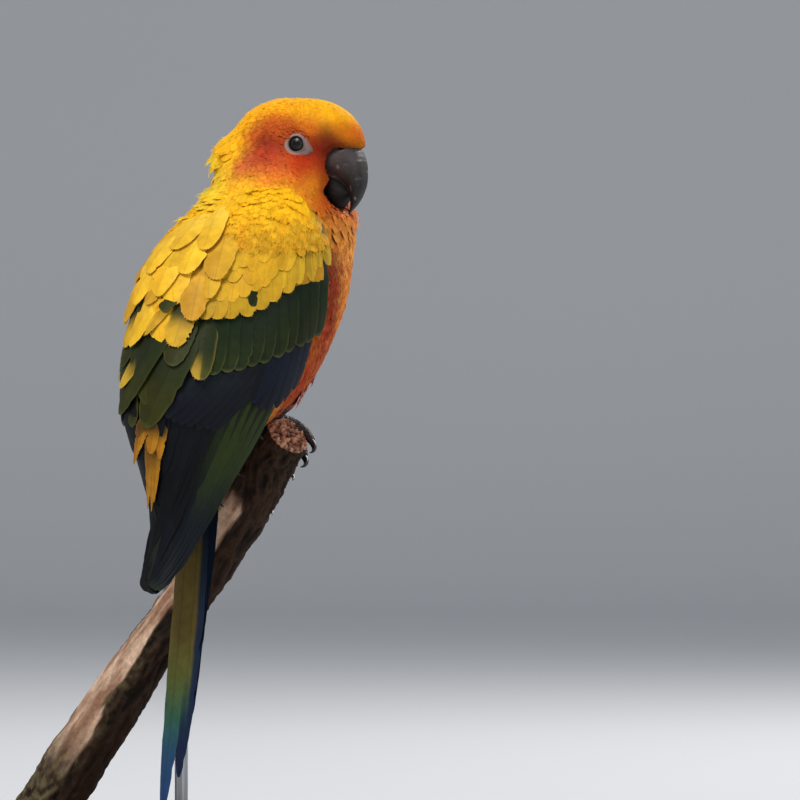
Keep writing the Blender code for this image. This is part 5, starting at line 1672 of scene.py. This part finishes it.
def toe_path(start, end, radius, steps=5):
    path = []
    for i in range(steps):
        spot, turn = (a + (b - a) * i / (steps - 1) for a, b in zip(start, end))
        centre, thick, _, top, far = branch_frame(max(0.0, spot))
        a = math.radians(turn)
        path.append(centre + (top * math.cos(a) + far * math.sin(a)) * (thick + radius + TOE_GAP))
    return np.array(path)


def tube(name, path, radii, rows, turns, looks, tints, bulge=0.0, bulges=1):
    """A round closed tube through a path, with rings of raised scales where bulge isn't 0. Its
    tints are those of its root and its tip."""
    line = curve(np.column_stack([path, radii]), rows)
    centre, radius = line[:, :3], line[:, 3]
    ahead = unit(np.gradient(centre, axis=0))
    side = unit(np.cross(ahead, unit(ahead[len(ahead) // 2] + 0.7 * UP + 0.31 * BODY_RIGHT)))
    over = np.cross(side, ahead)
    turn = 2 * math.pi * np.arange(turns) / turns
    share = np.linspace(0, 1, rows)
    swell = 1 + bulge * np.abs(np.sin(share * math.pi * bulges)) - bulge * 0.5
    ends = np.sqrt(np.clip(1 - (np.abs(share * 2 - 1)) ** 18, 0.01, 1))
    ring = side[:, None] * np.cos(turn)[None, :, None] + over[:, None] * np.sin(turn)[None, :, None]
    points = centre[:, None] + ring * (radius * swell * ends)[:, None, None]
    length = np.concatenate([[0], np.cumsum(np.linalg.norm(np.diff(centre, axis=0), axis=1))])
    around = np.abs(turn / math.pi - 1)[None] * 0.5
    vane = np.stack(np.broadcast_arrays(around, length[:, None] * 0.1), -1)
    root, tip = (srgb(tint) for tint in tints)
    colors = np.broadcast_to(mix(root, tip, share[:, None])[:, None], points.shape)
    return ring_surface(name, points, colors, looks, vane)


def joined(objects, name):
    """Joins pieces that share a material into the first, by name."""
    first = objects[0]
    mesh = bmesh.new()
    for obj in objects:
        mesh.from_mesh(obj.data)
    mesh.to_mesh(first.data)
    mesh.free()
    for obj in objects[1:]:
        bpy.data.objects.remove(obj)
    first.name = name
    return first


def foot(name, place, ankle, skin_looks, claw_looks):
    """A foot: scaly toes round the branch and a short shank, and its glossy claws."""
    t, toes = place
    centre, thick, _, top, far = branch_frame(t)
    forward = 1 if far @ BODY_FORWARD > 0 else -1
    pad = centre + top * (thick + TOE_RADIUS + 0.8)
    joint = body(*ankle)
    shank = np.array([joint + UP * 2, joint, (joint + pad) / 2, pad - top * 0.5])
    pieces = [tube(name + "_shank", shank, SHANK_RADII, 40, 32, skin_looks, TOE_TINTS, 0.05, 9)]
    claws = []
    for k, (spot, wrap) in enumerate(toes):
        turn = wrap * forward
        sign = math.copysign(forward, turn)
        path = toe_path((t, 2 * sign), (spot, turn), TOE_RADIUS)
        radii = [TOE_RADIUS * r for r in TOE_TAPER]
        pieces.append(tube(f"{name}_toe_{k}", path, radii, 90, 32, skin_looks, TOE_TINTS, 0.07, 14))
        curl = (CLAW_WRAP if wrap > 0 else BACK_CLAW_WRAP) * sign * forward
        claw = toe_path((spot, turn - curl * 0.15), (spot, turn + curl), CLAW_RADIUS)
        middle = branch_frame(max(0.0, spot))[0]
        claw = claw + unit(claw - middle) * CLAW_LIFT[:, None]
        radii = [CLAW_RADIUS * r for r in CLAW_TAPER]
        claws.append(tube(f"{name}_claw_{k}", claw, radii, 40, 24, claw_looks, CLAW_TINTS))
    made = joined(pieces, name + "_scales")
    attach(made, "root")
    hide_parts(name)
    made = joined(claws, name + "_claws")
    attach(made, "root")


def stand_materials():
    """Finishes for the model's own base plate and rods."""
    add, finish = material("stand_wood")
    grain = speckle(add, stretched(add, solid_place(add), (14, 120, 120)), 1.0, 5.0, 0.6, 0.8)
    color = ramp(add, grain, ((0.3, (38, 27, 20)), (0.55, (64, 45, 32)), (0.75, (86, 62, 44))))
    wood = finish({"Base Color": color, "Normal": raised(add, grain, 0.15, 0.0003), "Roughness": 0.42})
    add, finish = material("stand_steel")
    grain = speckle(add, stretched(add, solid_place(add), (2500, 2500, 60)), 1.0, 2.0)
    color = ramp(add, grain, ((0.3, (150, 152, 155)), (0.7, (176, 178, 181))))
    steel = finish({"Base Color": color, "Metallic": 1.0, "Roughness": 0.3})
    for name, looks in (("stand_base", wood), ("stand_rod_high", steel), ("stand_rod_low", steel)):
        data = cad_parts[name].data
        data.materials.clear()
        data.materials.append(looks)


# Camera, light and stage, in metres

LIT_MIDDLE = (0.01, 0.0, 0.17)
FLOOR_NEAR = -6.0
FLOOR_FAR = 3.4
FLOOR_BEND = 0.9
WALL_TOP = 4.0
STAGE_HALF = 5


def camera():
    data = bpy.data.cameras.new("camera")
    data.sensor_width = SENSOR
    data.lens = SENSOR * CAMERA_DISTANCE / FRAME_HEIGHT
    made = new_object("camera", data)
    made.location = CAMERA_PLACE
    made.rotation_euler = (math.pi / 2, 0, 0)
    bpy.context.scene.camera = made


def lamp(name, place, size, power, color):
    """A round lamp that faces the model's middle."""
    data = bpy.data.lights.new(name, "AREA")
    data.shape = "DISK"
    data.size = size
    data.energy = power
    data.color = srgb(color)
    made = new_object(name, data)
    made.location = place
    way = Vector(LIT_MIDDLE) - Vector(place)
    made.rotation_euler = way.to_track_quat("-Z", "Y").to_euler()


def stage():
    """A pale floor that curves up into a backdrop."""
    profile = [(FLOOR_NEAR, 0.0), (FLOOR_FAR, 0.0)]
    for i in range(1, 13):
        a = math.pi / 2 * i / 12
        profile.append((FLOOR_FAR + FLOOR_BEND * math.sin(a), FLOOR_BEND - FLOOR_BEND * math.cos(a)))
    profile.append((FLOOR_FAR + FLOOR_BEND, WALL_TOP))
    mesh = bmesh.new()
    near, far = (
        [mesh.verts.new((x, y, z)) for y, z in profile] for x in (-STAGE_HALF, STAGE_HALF)
    )
    for i in range(len(profile) - 1):
        mesh.faces.new((near[i], far[i], far[i + 1], near[i + 1]))
    data = bpy.data.meshes.new("backdrop")
    mesh.to_mesh(data)
    mesh.free()
    data.shade_smooth()
    made = new_object("backdrop", data)
    add, finish = material("stage_paper")
    grain = add("TexNoise", {"Scale": 3.0, "Detail": 3.0})
    color = ramp(add, grain, ((0.3, (196, 197, 200)), (0.7, (206, 206, 208))))
    data.materials.append(finish({"Base Color": color, "Roughness": 0.9}))


def light():
    """An even soft sky, and three lamps."""
    world = bpy.data.worlds.new("world")
    world.use_nodes = True
    back = world.node_tree.nodes["Background"]
    back.inputs[0].default_value = (*srgb((225, 232, 240)), 1)
    back.inputs[1].default_value = 0.5
    bpy.context.scene.world = world
    lamp("key", (-0.75, -1.15, 1.9), 1.0, 37, (255, 251, 243))
    lamp("fill", (1.6, -1.6, 0.8), 1.2, 12, (246, 248, 252))
    lamp("rim", (0.9, 1.1, 1.2), 0.8, 18, (255, 255, 255))
    bpy.context.scene.view_settings.view_transform = "Standard"


camera()
stage()
light()

flight_looks = feather_material("flight_feathers", 0.9, 0.35, 0.5, 0.0)
coat_looks = feather_material("small_feathers", 0.6, 0.25, 0.65, 0.03)
skin_looks = feather_material("feathered_skin", 0.6, 0.2, 0.8, 0.0)
body_skin = skin()
finish_skin(body_skin, skin_looks)
skin_tree = surface_tree(body_skin.data)
coat(body_skin, skin_tree, coat_looks)
tail(flight_looks)
rump(coat_looks)
horn = horn_material("horn", 0.5, 0.3, 0.4, 0.32)
low_horn = horn_material("low_horn", 0.65, 0.4, 0.25, 0.15)
bill("bill_upper", UPPER_BILL, 120, 1, horn)
bill("bill_lower", LOWER_BILL, 70, -1, low_horn)
eye_looks = eye_material()
lid_looks = scaly_material("bare_skin", (16, 13), LID_SCALES, 0.2, 0.6)
for eye_side, eye_name in ((1, "right"), (-1, "left")):
    eye("eye_" + eye_name, eye_side, eye_looks)
    lids("lids_" + eye_name, eye_side, skin_tree, lid_looks)
branch(bark_material())
scale_looks = scaly_material("scaly_skin", (9, 9), FOOT_SCALES, 0.8, 0.55)
claw_looks = horn_material("claws", 0.2, 0.15, 0.15)
foot("foot_right", RIGHT_FOOT, RIGHT_ANKLE, scale_looks, claw_looks)
foot("foot_left", LEFT_FOOT, LEFT_ANKLE, scale_looks, claw_looks)
stand_materials()
wing("feathers_wing_right", 1, flight_looks, 11)
wing("feathers_wing_left", -1, flight_looks, 12)
